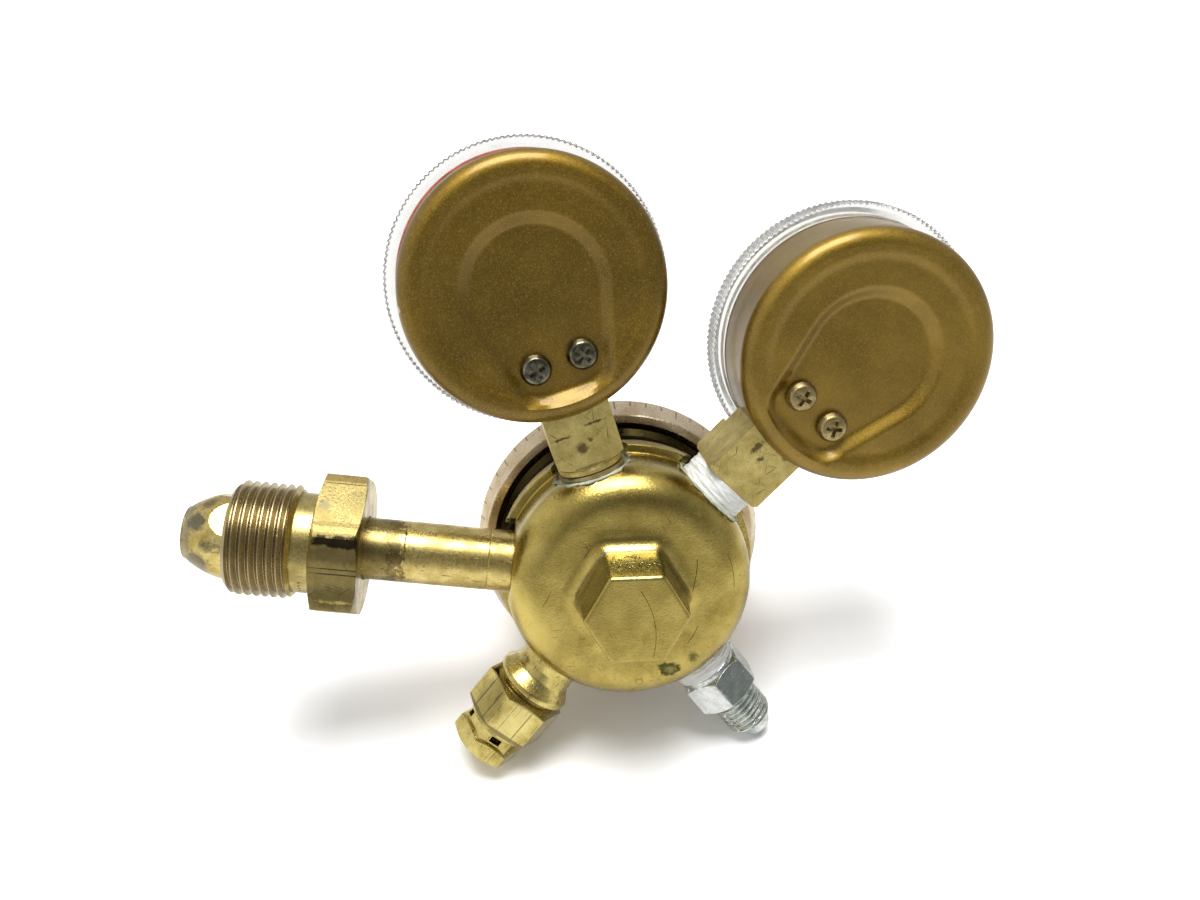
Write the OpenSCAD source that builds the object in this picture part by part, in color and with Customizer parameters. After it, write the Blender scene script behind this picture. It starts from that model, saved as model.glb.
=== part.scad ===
// Two-gauge pressure regulator for a compressed-gas cylinder.
// Each piece is a separate solid. The regulator is drawn with its main axis along +Y:
// the hexagonal boss faces -Y, the bonnet and the adjusting knob point to +Y, and every
// port leaves the body square to that axis, at an angle measured from +X towards +Z.
// At the end the whole assembly is turned to stand on the relief valve, the outlet and
// the rim of the knob.

/* [Body] */
// Radius of the round body wall
body_r = 26.7; // [26:0.1:27.4]
// Step from the body wall out to the flange round its front
flange_step = 2; // [1.6:0.1:2.4]
// Distance from the port axis back to the flat rear face
body_rear = 12; // [11.6:0.1:13]
// Distance from the port axis forward to the diaphragm seat
body_front = 24.5; // [23.5:0.1:25.5]
// Radius of the rounded rear edge
rear_edge_r = 7.8; // [5:0.1:8.4]
// Distance across the flats of the wrench boss
boss_flats = 19.05; // [17.5:0.01:20]
// Height of the wrench boss above the rear face
boss_height = 12; // [9:0.1:14]
// Radius of the hollow round the foot of the wrench boss
boss_foot = 2; // [1:0.1:3]
// Thickness of the wall round the low-pressure chamber
chamber_wall = 5.2; // [4.4:0.1:6]
// Depth of the low-pressure chamber
chamber_depth = 10; // [9:0.5:12]

/* [Ports] */
// Angle of the high-pressure gauge port
high_angle = 114.7; // [112:0.1:117]
// Angle of the low-pressure gauge port
low_angle = 53.1; // [50:0.1:55]
// Angle of the relief valve port
relief_angle = 238.9; // [235:0.1:241]
// Angle of the outlet port
outlet_angle = 315.2; // [312:0.1:318]
// Radius of the pipe threads in the ports
port_thread_r = 6.6; // [6.2:0.1:6.8]
// Distance from the main axis to the bottom of each port
port_bottom = 15; // [14:0.5:17]
// Radius of the gas passages
passage_r = 1.6; // [1:0.1:2]

/* [Bonnet and adjusting screw] */
// Step from the body wall out to the thread that takes the bonnet
bonnet_thread_step = 1.9; // [1.6:0.1:2.2]
// Thickness of the bonnet over that thread, at its greatest radius
bonnet_wall = 5.1; // [4.6:0.1:5.8]
// Taper of the bonnet's rear band, on the radius
bonnet_taper = 1.9; // [1.4:0.1:2.4]
// Distance from the port axis to the rear edge of the bonnet
bonnet_rear = 16.2; // [15.6:0.1:17]
// Distance from the port axis to the bonnet's greatest radius
bonnet_shoulder = 21.6; // [21:0.1:22.4]
// Distance from the port axis to the front of the bonnet's neck
neck_front = 68; // [67:0.5:70]
// Radius of the bonnet's neck
neck_r = 11.5; // [10.5:0.1:13]
// Radius of the adjusting screw's thread
screw_r = 6.35; // [6:0.05:6.5]
// Advance of the adjusting screw in one turn
screw_pitch = 1.27; // [1:0.01:1.6]
// Turns of the adjusting screw from slack to fully in
screw_turns = 4; // [3:1:5]
// Radius of the adjusting knob
knob_r = 14.2; // [13.6:0.1:15]
// Length of the adjusting knob
knob_length = 14; // [13:0.5:16]
// Number of flutes round the adjusting knob
knob_flutes = 12; // [8:1:16]
// Wire diameter of the main spring
main_wire = 2.8; // [2.4:0.1:3]
// Mean radius of the main spring
main_coil_r = 10.4; // [10:0.1:11]

/* [Valve] */
// Gap between the edge of the diaphragm and the bonnet's thread
diaphragm_gap = 1; // [0.6:0.1:1.6]
// Thickness of the diaphragm
diaphragm_t = 0.8; // [0.5:0.1:1]
// Radius of the plate that presses on the diaphragm
plate_r = 17; // [15:0.5:18]
// Radius of the valve stem
stem_r = 1.1; // [0.9:0.05:1.2]
// Opening travel of the valve
valve_travel = 0.6; // [0.4:0.1:0.8]

/* [Inlet] */
// Radius of the inlet stem
inlet_stem_r = 6.7; // [6.3:0.1:7]
// Length of the inlet stem between the body and the nut
inlet_stem_length = 31.58; // [29:0.02:34]
// Length of the nut's hexagon
nut_hex_length = 9.8; // [8.5:0.1:12]
// Distance across the flats of the nut
nut_flats = 28.58; // [27:0.01:30]
// Radius of the collar between the hexagon and the thread
nut_collar_r = 10.8; // [10.4:0.1:11.2]
// Length of that collar
nut_collar_length = 4.9; // [3.5:0.1:6]
// Radius of the nut's thread, over its crests
nut_thread_r = 12.25; // [12:0.01:12.4]
// Length of the nut's thread
nut_thread_length = 13.2; // [11:0.1:15]
// Radius of the nose at its base
nose_r = 9.55; // [9:0.05:9.7]
// Length of the rounded nose in front of the nut
nose_length = 9.8; // [9:0.1:12]
// Radius of the curve of the nose
nose_curve_r = 19.4; // [18:0.1:22]
// Distance across the flats cut into the base of the nose
nose_flats = 17.5; // [17:0.1:18.2]

/* [Gauges] */
// Thread left out of the body under the high-pressure gauge
high_neck = 0.78; // [0.6:0.02:1.2]
// Thread left out of the body under the low-pressure gauge
low_neck = 3.28; // [2.6:0.02:4]
// Swing of the high-pressure gauge about its stem
high_swing = 6; // [0:0.1:9]
// Swing of the low-pressure gauge about its stem
low_swing = 4.8; // [0:0.1:9]
// Distance from the middle of a gauge to the foot of its square stem
stem_length = 38.7; // [38:0.1:39.2]
// Radius of the gauge case
case_r = 26.8; // [26:0.1:27.2]
// Thickness of the case's sheet steel
case_t = 0.9; // [0.7:0.1:1]
// Distance from the stem axis back to the rear of the case
case_rear = 9.7; // [9.5:0.1:10.2]
// Distance from the stem axis to the front edge of the case
case_front = 8.6; // [8.2:0.1:9]
// Depth of the pressed recess in the rear of the case
recess_depth = 1.7; // [1.2:0.1:2]
// Radius of the recess round the middle of the case
recess_r = 13.4; // [12:0.1:14.5]
// Thickness of the clear lens's wall round the case
lens_wall = 2.85; // [2.6:0.05:3.2]
// Width of the knurled band of the lens
lens_band = 5.5; // [5:0.1:6]
// Side of the square gauge stem
socket_side = 14.2; // [13.6:0.1:14.6]
// Distance between the two screws in the back of a gauge
back_screw_gap = 9.8; // [9.4:0.1:10.2]
// Teeth of the pointer's pinion
pinion_teeth = 12; // [12:1:14]
// Teeth that the full circle of the sector gear would have
sector_teeth = 84; // [80:1:90]
// Tooth module of the gauge movement
tooth_module = 0.25; // [0.22:0.01:0.27]
// Sweep of the pointer from zero to full scale
pointer_sweep = 270; // [240:5:280]
// Mean radius of the bourdon tube
bourdon_r = 20; // [19.5:0.1:20.5]

/* [Relief valve] */
// Distance across the flats of the relief valve's body
relief_flats = 17.46; // [16:0.01:19.1]
// Length of the neck between the body and its hexagon
relief_neck_length = 10.48; // [9.4:0.02:11.6]
// Length of its hexagon
relief_hex_length = 10; // [9:0.1:11]
// Distance across the flats of the relief cap
relief_cap_flats = 14.29; // [13:0.01:15]
// Length of the relief cap's head
relief_cap_length = 4.4; // [4:0.1:5.5]
// Opening travel of the relief valve
relief_travel = 1.2; // [0.8:0.1:1.5]

/* [Outlet] */
// Distance across the flats of the outlet fitting
outlet_flats = 14.29; // [13.5:0.01:15]
// Length of the neck between the body and its hexagon
outlet_neck_length = 4.98; // [4.2:0.02:5.8]
// Length of its hexagon
outlet_hex_length = 8.6; // [7:0.1:10]
// Radius of the flare thread, over its crests
flare_thread_r = 5.56; // [5.4:0.01:5.7]
// Length of the flare thread
flare_thread_length = 9; // [7:0.1:11]
// Length of the flare nose
flare_nose = 3.2; // [2.6:0.1:4]

/* [Standing] */
// Roll of the standing regulator about its main axis
rest_roll = 12.25; // [0:0.01:15]
// Nose-down tilt of the standing regulator
rest_pitch = 19.67; // [0:0.01:25]

/* [Hidden] */
$fn = 64;
joint_gap = 0.05;
seat_gap = 0.02;

// Colours
brass = "#b79a4a";
dull_brass = "#9a8140";
bonnet_brass = "#b08a62";
gauge_gold = "#8f7226";
steel = "#8f9498";
zinc = "#a9adb0";
rubber = "#242424";
clear = [0.86, 0.9, 0.92, 0.35];
tape_white = "#e9e8e2";

// Main axis, measured from the port axis
boss_turn = -8;
flange_r = body_r + flange_step;
chamber_r = body_r - chamber_wall;
bonnet_thread_r = body_r + bonnet_thread_step;
bonnet_r = bonnet_thread_r + bonnet_wall;
bonnet_rear_r = bonnet_r - bonnet_taper;
diaphragm_r = bonnet_thread_r - diaphragm_gap;
chamber_floor = body_front - chamber_depth;
diaphragm_front = body_front + diaphragm_t;
slip_ring_t = 0.8;
slip_front = diaphragm_front + slip_ring_t;
plate_t = 2.4;
plate_front = diaphragm_front + seat_gap + plate_t;
spring_seat_r = (main_coil_r - main_wire / 2) * cos(22.5) - 0.2;
spring_seat_t = 2;
screw_travel = screw_pitch * screw_turns;
button_t = 4.5;
button_r = main_coil_r + main_wire / 2 + 0.4;
button_back = 51.5;
button_front = button_back + button_t;
screw_tip = button_front - 1.5;
neck_back = neck_front - 8.5;
knob_back = neck_front + screw_travel + 0.8;
knob_front = knob_back + knob_length;
spring_cavity_r = button_r + 2.2;
set_screw_r = 1.5;
set_screw_length = 5;
set_screw_up = 5;
set_screw_socket = 1.6;
bell_r = 42;

// Valve, measured from the port axis
valve_well_r = 5.2;
spring_room = 8.3;
nozzle_thread_r = 7;
nozzle_back = 4.5;
nozzle_hex_t = 3.2;
nozzle_flats = 17;
nozzle_front = chamber_floor + nozzle_hex_t;
nozzle_hole_r = stem_r + 0.5;
seat_t = 1.4;
seat_r = 3.4;
poppet_r = 4.2;
poppet_t = 3.2;
poppet_front = nozzle_back - seat_gap;
poppet_back = poppet_front - poppet_t;
valve_well_back = poppet_back - spring_room - 5 * valve_travel;
washer_t = 1.5;
washer_r = 11;
washer_back = body_front - seat_gap - washer_t;
stem_front = washer_back - joint_gap;
poppet_wire = 0.7;
poppet_coil_r = 2.9;

// Ports and fittings, measured outwards from the main axis
port_bore_r = port_thread_r + seat_gap;
spot_r = 9.4;
spot_depth = 1.1;
spot_face = body_r - spot_depth;
fitting_foot = spot_face + seat_gap;
thread_start = port_bottom + 0.6;
fitting_bore_r = 2.2;
nut_near = fitting_foot + inlet_stem_length;
nut_hex_far = nut_near + nut_hex_length;
nut_collar_far = nut_hex_far + nut_collar_length;
nut_far = nut_collar_far + nut_thread_length;
nut_bore_r = inlet_stem_r + 0.25;
nut_mouth_r = nose_r + 0.35;
nut_seat = nut_far - 3.4;
nose_seat = nut_seat + 0.3;
nose_base = nut_far;
nose_end = nose_base + nose_length;
nose_lead = 2.5;
nut_turn = -2;
filter_r = 2.9;
filter_length = 10;

relief_hex_near = fitting_foot + relief_neck_length;
relief_hex_far = relief_hex_near + relief_hex_length;
relief_neck_r = 6.75;
relief_bead_r = 8.75;
relief_turn = 1;
relief_ring_r = 7.7;
relief_ring_t = 1.2;
relief_bore_r = 5;
relief_bore_near = relief_hex_near + 1;
relief_seat_t = 1.2;
relief_poppet_t = 2.6;
relief_slot_t = 2.6;
relief_cap_near = relief_hex_far + relief_ring_t;
relief_cap_head = relief_cap_near + relief_slot_t;
relief_cap_far = relief_cap_head + relief_cap_length;
relief_cap_thread = 4;
relief_roof = relief_cap_near + 1;
relief_wire = 0.9;
relief_coil_r = 3.3;
relief_well_r = relief_coil_r + relief_wire / 2 + 0.25;

outlet_hex_near = fitting_foot + outlet_neck_length;
outlet_collar_r = outlet_flats / 2 - 0.1;
outlet_collar_length = 1.2;
outlet_hex_far = outlet_hex_near + outlet_hex_length;
flare_far = outlet_hex_far + flare_thread_length;
flare_tip = flare_far + flare_nose;
flare_tip_r = 2.7;
outlet_turn = 30;
tape_t = 0.75;

// Gauges: angle of the port, swing about the stem and distance to the dial's middle
collar_length = 1.5;
high_reach = fitting_foot + high_neck + collar_length + stem_length;
low_reach = fitting_foot + low_neck + collar_length + stem_length;
high_gauge = [high_angle, high_swing, high_reach];
low_gauge = [low_angle, low_swing, low_reach];

// Gauge, measured from the stem axis towards the dial and from the dial's middle down the stem
socket_half = socket_side / 2;
socket_chamfer = 1;
collar_r = socket_half - 0.05;
socket_top = 11.5;
lens_wall_r = case_r + 0.15;
lens_r = lens_wall_r + lens_wall;
socket_step = lens_r + 0.3;
socket_case_level = case_r - 1.4;
socket_bore_r = 1.2;
lens_back = case_front - 3;
lens_band_front = lens_back + lens_band;
lens_front = lens_band_front + 1.9;
window_t = 1.8;
block_front = -1.6;
case_rim_r = 3.8;
recess_end = 21;
recess_end_r = 3.2;
recess_end_x = 5;
back_screw_down = 14.9;
back_screw_r = 1.5;
back_screw_head_r = 3.2;
back_screw_head_t = 2.1;
back_screw_length = 5.2;
bourdon_width = 5;
bourdon_thick = 2;
bourdon_wall = 0.35;
bourdon_mid = -4.35;
bourdon_root = 75;
bourdon_sweep = 280;
tip_angle = bourdon_root - bourdon_sweep;
tip_x = bourdon_r * cos(tip_angle);
tip_y = bourdon_r * sin(tip_angle);
plate_w = 14;
frame_t = 1;
frame_top = -6.4;
frame_foot = 19.4;
back_plate = block_front;
front_plate = 3.2;
pillar_r = 1;
pillars = [[5.6, 17.4], [-5.6, 17.4], [0, -4.4]];
pinion_r = tooth_module * pinion_teeth / 2;
sector_r = tooth_module * sector_teeth / 2;
gear_centres = pinion_r + sector_r;
gear_ratio = sector_teeth / pinion_teeth;
sector_sweep = pointer_sweep / gear_ratio;
pressure_angle = 20;
tooth_slack = 0.07;
sector_back = 0.5;
sector_t = 0.9;
arbor_r = 0.6;
arbor_hole_r = arbor_r + joint_gap;
tail_length = 4.5;
tail_angle = 90 - sector_sweep / 2;
link_back = sector_back + sector_t + 0.25;
link_t = 0.6;
link_pin_r = 0.5;
link_hole_r = link_pin_r + joint_gap;
link_end_r = 1.1;
dial_back = 6.5;
dial_t = 0.8;
dial_r = case_r - case_t - 0.6;
pointer_back = dial_back + dial_t + 0.8;
pointer_t = 0.5;
pointer_length = dial_r - 6.3;
pointer_tail = 7;
pointer_hub_r = 2.1;
pointer_w = 0.75;
pointer_tip_w = 0.2;
pointer_tail_w = 1.1;
zero_angle = 90 - (360 - pointer_sweep) / 2;

// Standing place: the middle of the footprint, at the height of the floor
stand_x = 6.065;
stand_y = -30.568;
stand_z = 42.277;

// Geometry helpers

// Points of an arc about [cx, cy], from angle a to angle b
function arc(cx, cy, r, a, b, steps = 8) =
  [for (i = [0 : steps]) let (t = a + (b - a) * i / steps) [cx + r * cos(t), cy + r * sin(t)]];

// Half the angle that a gear tooth spans at radius r
function involute(angle) = tan(angle) * 180 / PI - angle;
function tooth_half(r, teeth) =
  let (base = tooth_module * teeth / 2 * cos(pressure_angle))
  let (tilt = r <= base ? 0 : acos(base / r))
  90 / teeth + involute(pressure_angle) - involute(tilt) - tooth_slack / (tooth_module * teeth) * 180 / PI;

// One tooth as points, from its root on one side to its root on the other
function tooth(teeth, middle) =
  let (pitch = tooth_module * teeth / 2)
  let (radii = [pitch - 1.2 * tooth_module, pitch - 0.4 * tooth_module, pitch, pitch + 0.75 * tooth_module])
  concat(
    [for (i = [0 : 3]) let (t = middle - tooth_half(radii[i], teeth)) radii[i] * [cos(t), sin(t)]],
    [for (i = [3 : -1 : 0]) let (t = middle + tooth_half(radii[i], teeth)) radii[i] * [cos(t), sin(t)]]
  );
function gear_points(teeth, first, count) =
  [for (i = [0 : count - 1]) each tooth(teeth, first + i * 360 / teeth)];

// Points of a helix on the Z axis, with closed coils at both ends
function spring_height(turn, turns, wire, height) =
  let (open_turns = turns - 2)
  let (closed = wire + 0.45)
  let (open_pitch = (height - wire - 2 * closed) / open_turns)
  wire / 2 + closed * min(turn, 1) + open_pitch * max(0, min(turn - 1, open_turns))
  + closed * max(0, turn - 1 - open_turns);
function spring_point(turn, turns, wire, coil_r, height) =
  [coil_r * cos(360 * turn), coil_r * sin(360 * turn), spring_height(turn, turns, wire, height)];

// Round wire wound along the points of a helix, as one closed tube
module coil_spring(wire, coil_r, height, turns) {
  rings = turns * 8;
  sides = 6;
  path = [for (i = [0 : rings]) spring_point(i / 8, turns, wire, coil_r, height)];
  ring_points = [
    for (i = [0 : rings])
      let (a = 45 * i)
        for (k = [0 : sides - 1])
          let (b = 360 * k / sides)
            path[i] + wire / 2 * [cos(b) * cos(a), cos(b) * sin(a), sin(b)]
  ];
  sides_faces = [
    for (i = [0 : rings - 1])
      for (k = [0 : sides - 1])
        let (n = (k + 1) % sides)
          each [
            [i * sides + k, (i + 1) * sides + k, (i + 1) * sides + n],
            [i * sides + k, (i + 1) * sides + n, i * sides + n]
          ]
  ];
  start_faces = [for (k = [1 : sides - 2]) [0, k, k + 1]];
  last = rings * sides;
  end_faces = [for (k = [1 : sides - 2]) [last, last + k + 1, last + k]];
  polyhedron(ring_points, concat(sides_faces, start_faces, end_faces));
  gap = min([for (i = [0 : rings - 8]) path[i + 8][2] - path[i][2] - wire]);
  echo(str("least gap between coils, wire ", wire, ": ", gap));
}

// Placing helpers

// Turns the upright regulator to its standing attitude
module standing() {
  translate([stand_x, stand_y, stand_z])
    rotate([-rest_pitch, 0, 0])
      rotate([0, rest_roll, 0])
        children();
}

// Lays a solid that is drawn about +Z along the main axis, its top to the front
module on_axis(at = 0) {
  standing()
    translate([0, at, 0])
      rotate([-90, 0, 0])
        children();
}

// Stands a solid that is drawn about +Z on a port, pointing outwards
module on_port(angle) {
  standing()
    rotate([0, 90 - angle, 0])
      children();
}

// Places a gauge piece: Z outwards along the stem, Y to the dial side
module on_stem(gauge) {
  on_port(gauge[0])
    rotate([0, 0, gauge[1]])
      children();
}

// Places a gauge piece drawn on the dial: Z to the dial side, Y towards the stem
module on_dial(gauge) {
  on_stem(gauge)
    translate([0, 0, gauge[2]])
      rotate([-90, 0, 0])
        children();
}

module tube(outer, inner, from, to) {
  translate([0, 0, from])
    difference() {
      cylinder(r = outer, h = to - from);
      translate([0, 0, -1])
        cylinder(r = inner, h = to - from + 2);
    }
}

module hexagon(flats, from, to) {
  translate([0, 0, from])
    cylinder(d = flats / cos(30), h = to - from, $fn = 6);
}

// Hexagonal bar with both end faces chamfered round
module chamfered_hexagon(flats, from, to) {
  corner_r = flats / 2 / cos(30);
  face_r = flats / 2 - 0.3;
  slope = (corner_r - face_r) * 0.55;
  intersection() {
    hexagon(flats, from, to);
    rotate_extrude()
      polygon([
        [0, from], [face_r, from], [corner_r, from + slope],
        [corner_r, to - slope], [face_r, to], [0, to]
      ]);
  }
}

// Body

module body_blank() {
  edge = arc(body_r - rear_edge_r, -body_rear + rear_edge_r, rear_edge_r, -90, 0);
  groove_r = bonnet_thread_r - 1.4;
  rotate_extrude($fn = 96)
    polygon(concat(
      [[0, -body_rear]],
      edge,
      [
        [body_r, 3.2], [flange_r - 0.3, 3.2], [flange_r, 3.5], [flange_r, 6.7], [flange_r - 0.3, 7],
        [groove_r, 7], [groove_r, bonnet_rear - 1.6], [bonnet_thread_r, bonnet_rear - 0.4],
        [bonnet_thread_r, body_front], [0, body_front]
      ]
    ));
}

module wrench_boss() {
  corner = boss_flats / 2 / cos(30);
  foot = arc(corner + boss_foot, -boss_foot, boss_foot, 180, 90, 6);
  rotate_extrude($fn = 6)
    polygon(concat(
      [[0, -boss_height], [corner - 0.7, -boss_height], [corner, -boss_height + 0.7]],
      foot,
      [[corner + boss_foot, 0.6], [0, 0.6]]
    ));
}

module regulator_body() {
  color(brass)
    on_axis()
      difference() {
        union() {
          body_blank();
          translate([0, 0, -body_rear])
            rotate([0, 0, boss_turn])
              wrench_boss();
        }
        translate([0, 0, chamber_floor])
          cylinder(r = chamber_r, h = chamber_depth + 1);
        translate([0, 0, nozzle_back])
          cylinder(r = nozzle_thread_r + seat_gap, h = body_front - nozzle_back);
        translate([0, 0, valve_well_back])
          cylinder(r = valve_well_r, h = nozzle_back - valve_well_back + 1);
        for (angle = [180, high_angle, low_angle, relief_angle, outlet_angle])
          port_cut(angle);
        for (angle = [180, high_angle])
          port_passage(angle);
        for (angle = [low_angle, relief_angle, outlet_angle])
          chamber_passage(angle);
      }
}

// In the lying frame of the main axis a port leaves towards [cos, -sin]
module port_cut(angle) {
  rotate([0, 0, -angle])
    rotate([0, 90, 0]) {
      translate([0, 0, port_bottom])
        cylinder(r = port_bore_r, h = 20);
      translate([0, 0, spot_face])
        cylinder(r = spot_r, h = 10);
    }
}

module port_passage(angle) {
  rotate([0, 0, -angle])
    rotate([0, 90, 0])
      cylinder(r = passage_r, h = port_bottom + 1);
}

module chamber_passage(angle) {
  rotate([0, 0, -angle])
    translate([port_bottom + 3, 0, 0])
      cylinder(r = passage_r, h = chamber_floor + 1);
}

// Bonnet, screw and main spring

module bonnet() {
  bell = arc(bonnet_r - 3 - bell_r, bonnet_shoulder + 5.4, bell_r, 0, 47.6, 10);
  clamp = slip_front + seat_gap;
  color(bonnet_brass)
    on_axis()
      difference() {
        rotate_extrude($fn = 96)
          polygon(concat(
            [
              [0, bonnet_rear], [bonnet_rear_r - 0.3, bonnet_rear], [bonnet_rear_r, bonnet_rear + 0.3],
              [bonnet_r, bonnet_shoulder - 0.3], [bonnet_r, bonnet_shoulder],
              [bonnet_r - 0.6, bonnet_shoulder + 1], [bonnet_r - 2.6, bonnet_shoulder + 4.4]
            ],
            bell,
            [
              [neck_r + 2, neck_back - 0.2], [neck_r, neck_back + 1.2],
              [neck_r, neck_front - 0.8], [neck_r - 0.8, neck_front], [0, neck_front]
            ]
          ));
        rotate_extrude($fn = 96)
          polygon([
            [0, bonnet_rear - 1], [bonnet_thread_r + 1.3, bonnet_rear - 1],
            [bonnet_thread_r + 1.3, bonnet_rear], [bonnet_thread_r + seat_gap, bonnet_rear + 1.3],
            [bonnet_thread_r + seat_gap, clamp], [spring_cavity_r + 7.5, clamp],
            [spring_cavity_r + 7.5, plate_front + 2], [spring_cavity_r, plate_front + 16],
            [spring_cavity_r, button_front + 0.6], [0, button_front + 0.6]
          ]);
        cylinder(r = screw_r + joint_gap, h = neck_front + 1);
      }
}

module slip_ring() {
  color(steel)
    on_axis()
      tube(diaphragm_r, chamber_r + 0.5, diaphragm_front, slip_front);
}

module diaphragm() {
  color(rubber)
    on_axis()
      translate([0, 0, body_front])
        cylinder(r = diaphragm_r, h = diaphragm_t);
}

module diaphragm_plate() {
  color(steel)
    on_axis()
      rotate_extrude()
        polygon([
          [0, diaphragm_front + seat_gap], [plate_r - 0.6, diaphragm_front + seat_gap],
          [plate_r, diaphragm_front + 0.6], [plate_r, plate_front - 0.6], [plate_r - 0.6, plate_front],
          [spring_seat_r, plate_front], [spring_seat_r, plate_front + spring_seat_t - 0.5],
          [spring_seat_r - 0.5, plate_front + spring_seat_t], [0, plate_front + spring_seat_t]
        ]);
}

module diaphragm_washer() {
  color(steel)
    on_axis()
      rotate_extrude()
        polygon([
          [0, washer_back], [washer_r - 0.5, washer_back], [washer_r, washer_back + 0.5],
          [washer_r, body_front - seat_gap], [0, body_front - seat_gap]
        ]);
}

module main_spring() {
  color("#5b5d60")
    on_axis(plate_front + joint_gap)
      coil_spring(main_wire, main_coil_r, button_back - plate_front - 2 * joint_gap, 6);
}

module spring_button() {
  color(steel)
    on_axis()
      difference() {
        rotate_extrude()
          polygon([
            [0, button_back - spring_seat_t], [spring_seat_r - 0.5, button_back - spring_seat_t],
            [spring_seat_r, button_back - spring_seat_t + 0.5], [spring_seat_r, button_back],
            [button_r, button_back], [button_r, button_front - 1.2],
            [button_r - 1.2, button_front], [0, button_front]
          ]);
        translate([0, 0, screw_tip - joint_gap])
          cylinder(r1 = 3, r2 = 4.6, h = 2);
      }
}

module adjusting_screw() {
  color(steel)
    on_axis()
      rotate_extrude()
        polygon([
          [0, screw_tip], [2.6, screw_tip], [3.9, screw_tip + 1.6], [4.6, screw_tip + 1.9],
          [screw_r - 0.8, screw_tip + 1.9], [screw_r, screw_tip + 2.7], [screw_r, knob_front - 3.5],
          [0, knob_front - 3.5]
        ]);
}

module adjusting_knob() {
  color(rubber)
    on_axis()
      difference() {
        rotate_extrude($fn = 96)
          polygon([
            [0, knob_back], [screw_r + 3.2, knob_back], [knob_r - 2.6, knob_back + 1.4],
            [knob_r - 0.8, knob_back + 3.2], [knob_r, knob_back + 5.2], [knob_r, knob_front - 2],
            [knob_r - 0.6, knob_front - 0.6], [knob_r - 2, knob_front], [0, knob_front]
          ]);
        translate([0, 0, knob_back - 1])
          cylinder(r = screw_r + seat_gap, h = knob_length - 2.5 + seat_gap);
        for (i = [0 : knob_flutes - 1])
          rotate([0, 0, i * 360 / knob_flutes])
            translate([knob_r + 1.1, 0, knob_back + 3.6])
              cylinder(r = 2.3, h = knob_length);
        translate([0, 0, knob_back + set_screw_up])
          rotate([0, 90, 180 / knob_flutes])
            cylinder(r = set_screw_r + seat_gap, h = knob_r + 2);
      }
}

module knob_set_screw() {
  color("#303030")
    on_axis()
      translate([0, 0, knob_back + set_screw_up])
        rotate([0, 90, 180 / knob_flutes])
          difference() {
            translate([0, 0, screw_r + seat_gap])
              cylinder(r = set_screw_r, h = set_screw_length);
            translate([0, 0, screw_r + set_screw_length - set_screw_socket])
              cylinder(r = set_screw_r / 2, h = set_screw_socket + 1, $fn = 6);
          }
}

// Valve

module nozzle() {
  color(brass)
    on_axis()
      difference() {
        union() {
          translate([0, 0, nozzle_back])
            cylinder(r = nozzle_thread_r, h = chamber_floor - nozzle_back + 0.1);
          chamfered_hexagon(nozzle_flats, chamber_floor + seat_gap, nozzle_front);
        }
        translate([0, 0, nozzle_back - 1])
          cylinder(r = nozzle_hole_r, h = nozzle_front - nozzle_back + 2);
      }
}

module poppet() {
  color(brass)
    on_axis()
      difference() {
        union() {
          translate([0, 0, poppet_back])
            cylinder(r = poppet_r, h = poppet_t);
          cylinder(r = stem_r, h = stem_front);
          translate([0, 0, poppet_back - 1.6])
            cylinder(r = poppet_coil_r - poppet_wire / 2 - 0.3, h = 2);
        }
        tube(seat_r + seat_gap, stem_r, poppet_front - seat_t, poppet_front + 1);
      }
}

module poppet_seat() {
  color("#e8e4d8")
    on_axis()
      tube(seat_r, stem_r + seat_gap, poppet_front - seat_t + seat_gap, poppet_front);
}

module poppet_spring() {
  color(steel)
    on_axis(valve_well_back + joint_gap)
      coil_spring(poppet_wire, poppet_coil_r, poppet_back - valve_well_back - 2 * joint_gap, 5);
}

// Inlet

module inlet_nipple() {
  centre = [nose_r - sqrt(nose_curve_r * nose_curve_r - nose_lead * nose_lead), nose_base - nose_lead];
  curve = arc(
    centre[0], centre[1], nose_curve_r,
    asin(nose_lead / nose_curve_r), asin((nose_length - 0.5 + nose_lead) / nose_curve_r), 10
  );
  tip_r = curve[len(curve) - 1][0];
  color(brass)
    on_port(180)
      difference() {
        union() {
          translate([0, 0, fitting_foot])
            cylinder(r = inlet_stem_r, h = nut_seat - fitting_foot + 1);
          translate([0, 0, thread_start])
            cylinder(r = port_thread_r, h = nut_near - thread_start);
          rotate_extrude()
            polygon([
              [0, nose_seat], [nose_r - 0.4, nose_seat], [nose_r, nose_seat + 0.4],
              [nose_r, nose_base], [0, nose_base]
            ]);
          intersection() {
            rotate_extrude()
              polygon(concat(
                [[0, nose_base]], curve,
                [[tip_r - 0.2, nose_end - 0.2], [tip_r - 0.6, nose_end], [0, nose_end]]
              ));
            hexagon(nose_flats, nose_base - 1, nose_end + 1);
          }
        }
        translate([0, 0, thread_start - 1])
          cylinder(r = fitting_bore_r, h = nose_end);
        translate([0, 0, nose_end - filter_length])
          cylinder(r = filter_r + seat_gap, h = filter_length + 1);
      }
}

module inlet_filter() {
  color("#a3713f")
    on_port(180)
      difference() {
        translate([0, 0, nose_end - filter_length + seat_gap])
          cylinder(r = filter_r, h = filter_length - 1);
        translate([0, 0, nose_end - filter_length - 1])
          cylinder(r = 1.3, h = filter_length - 1);
      }
}

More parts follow.
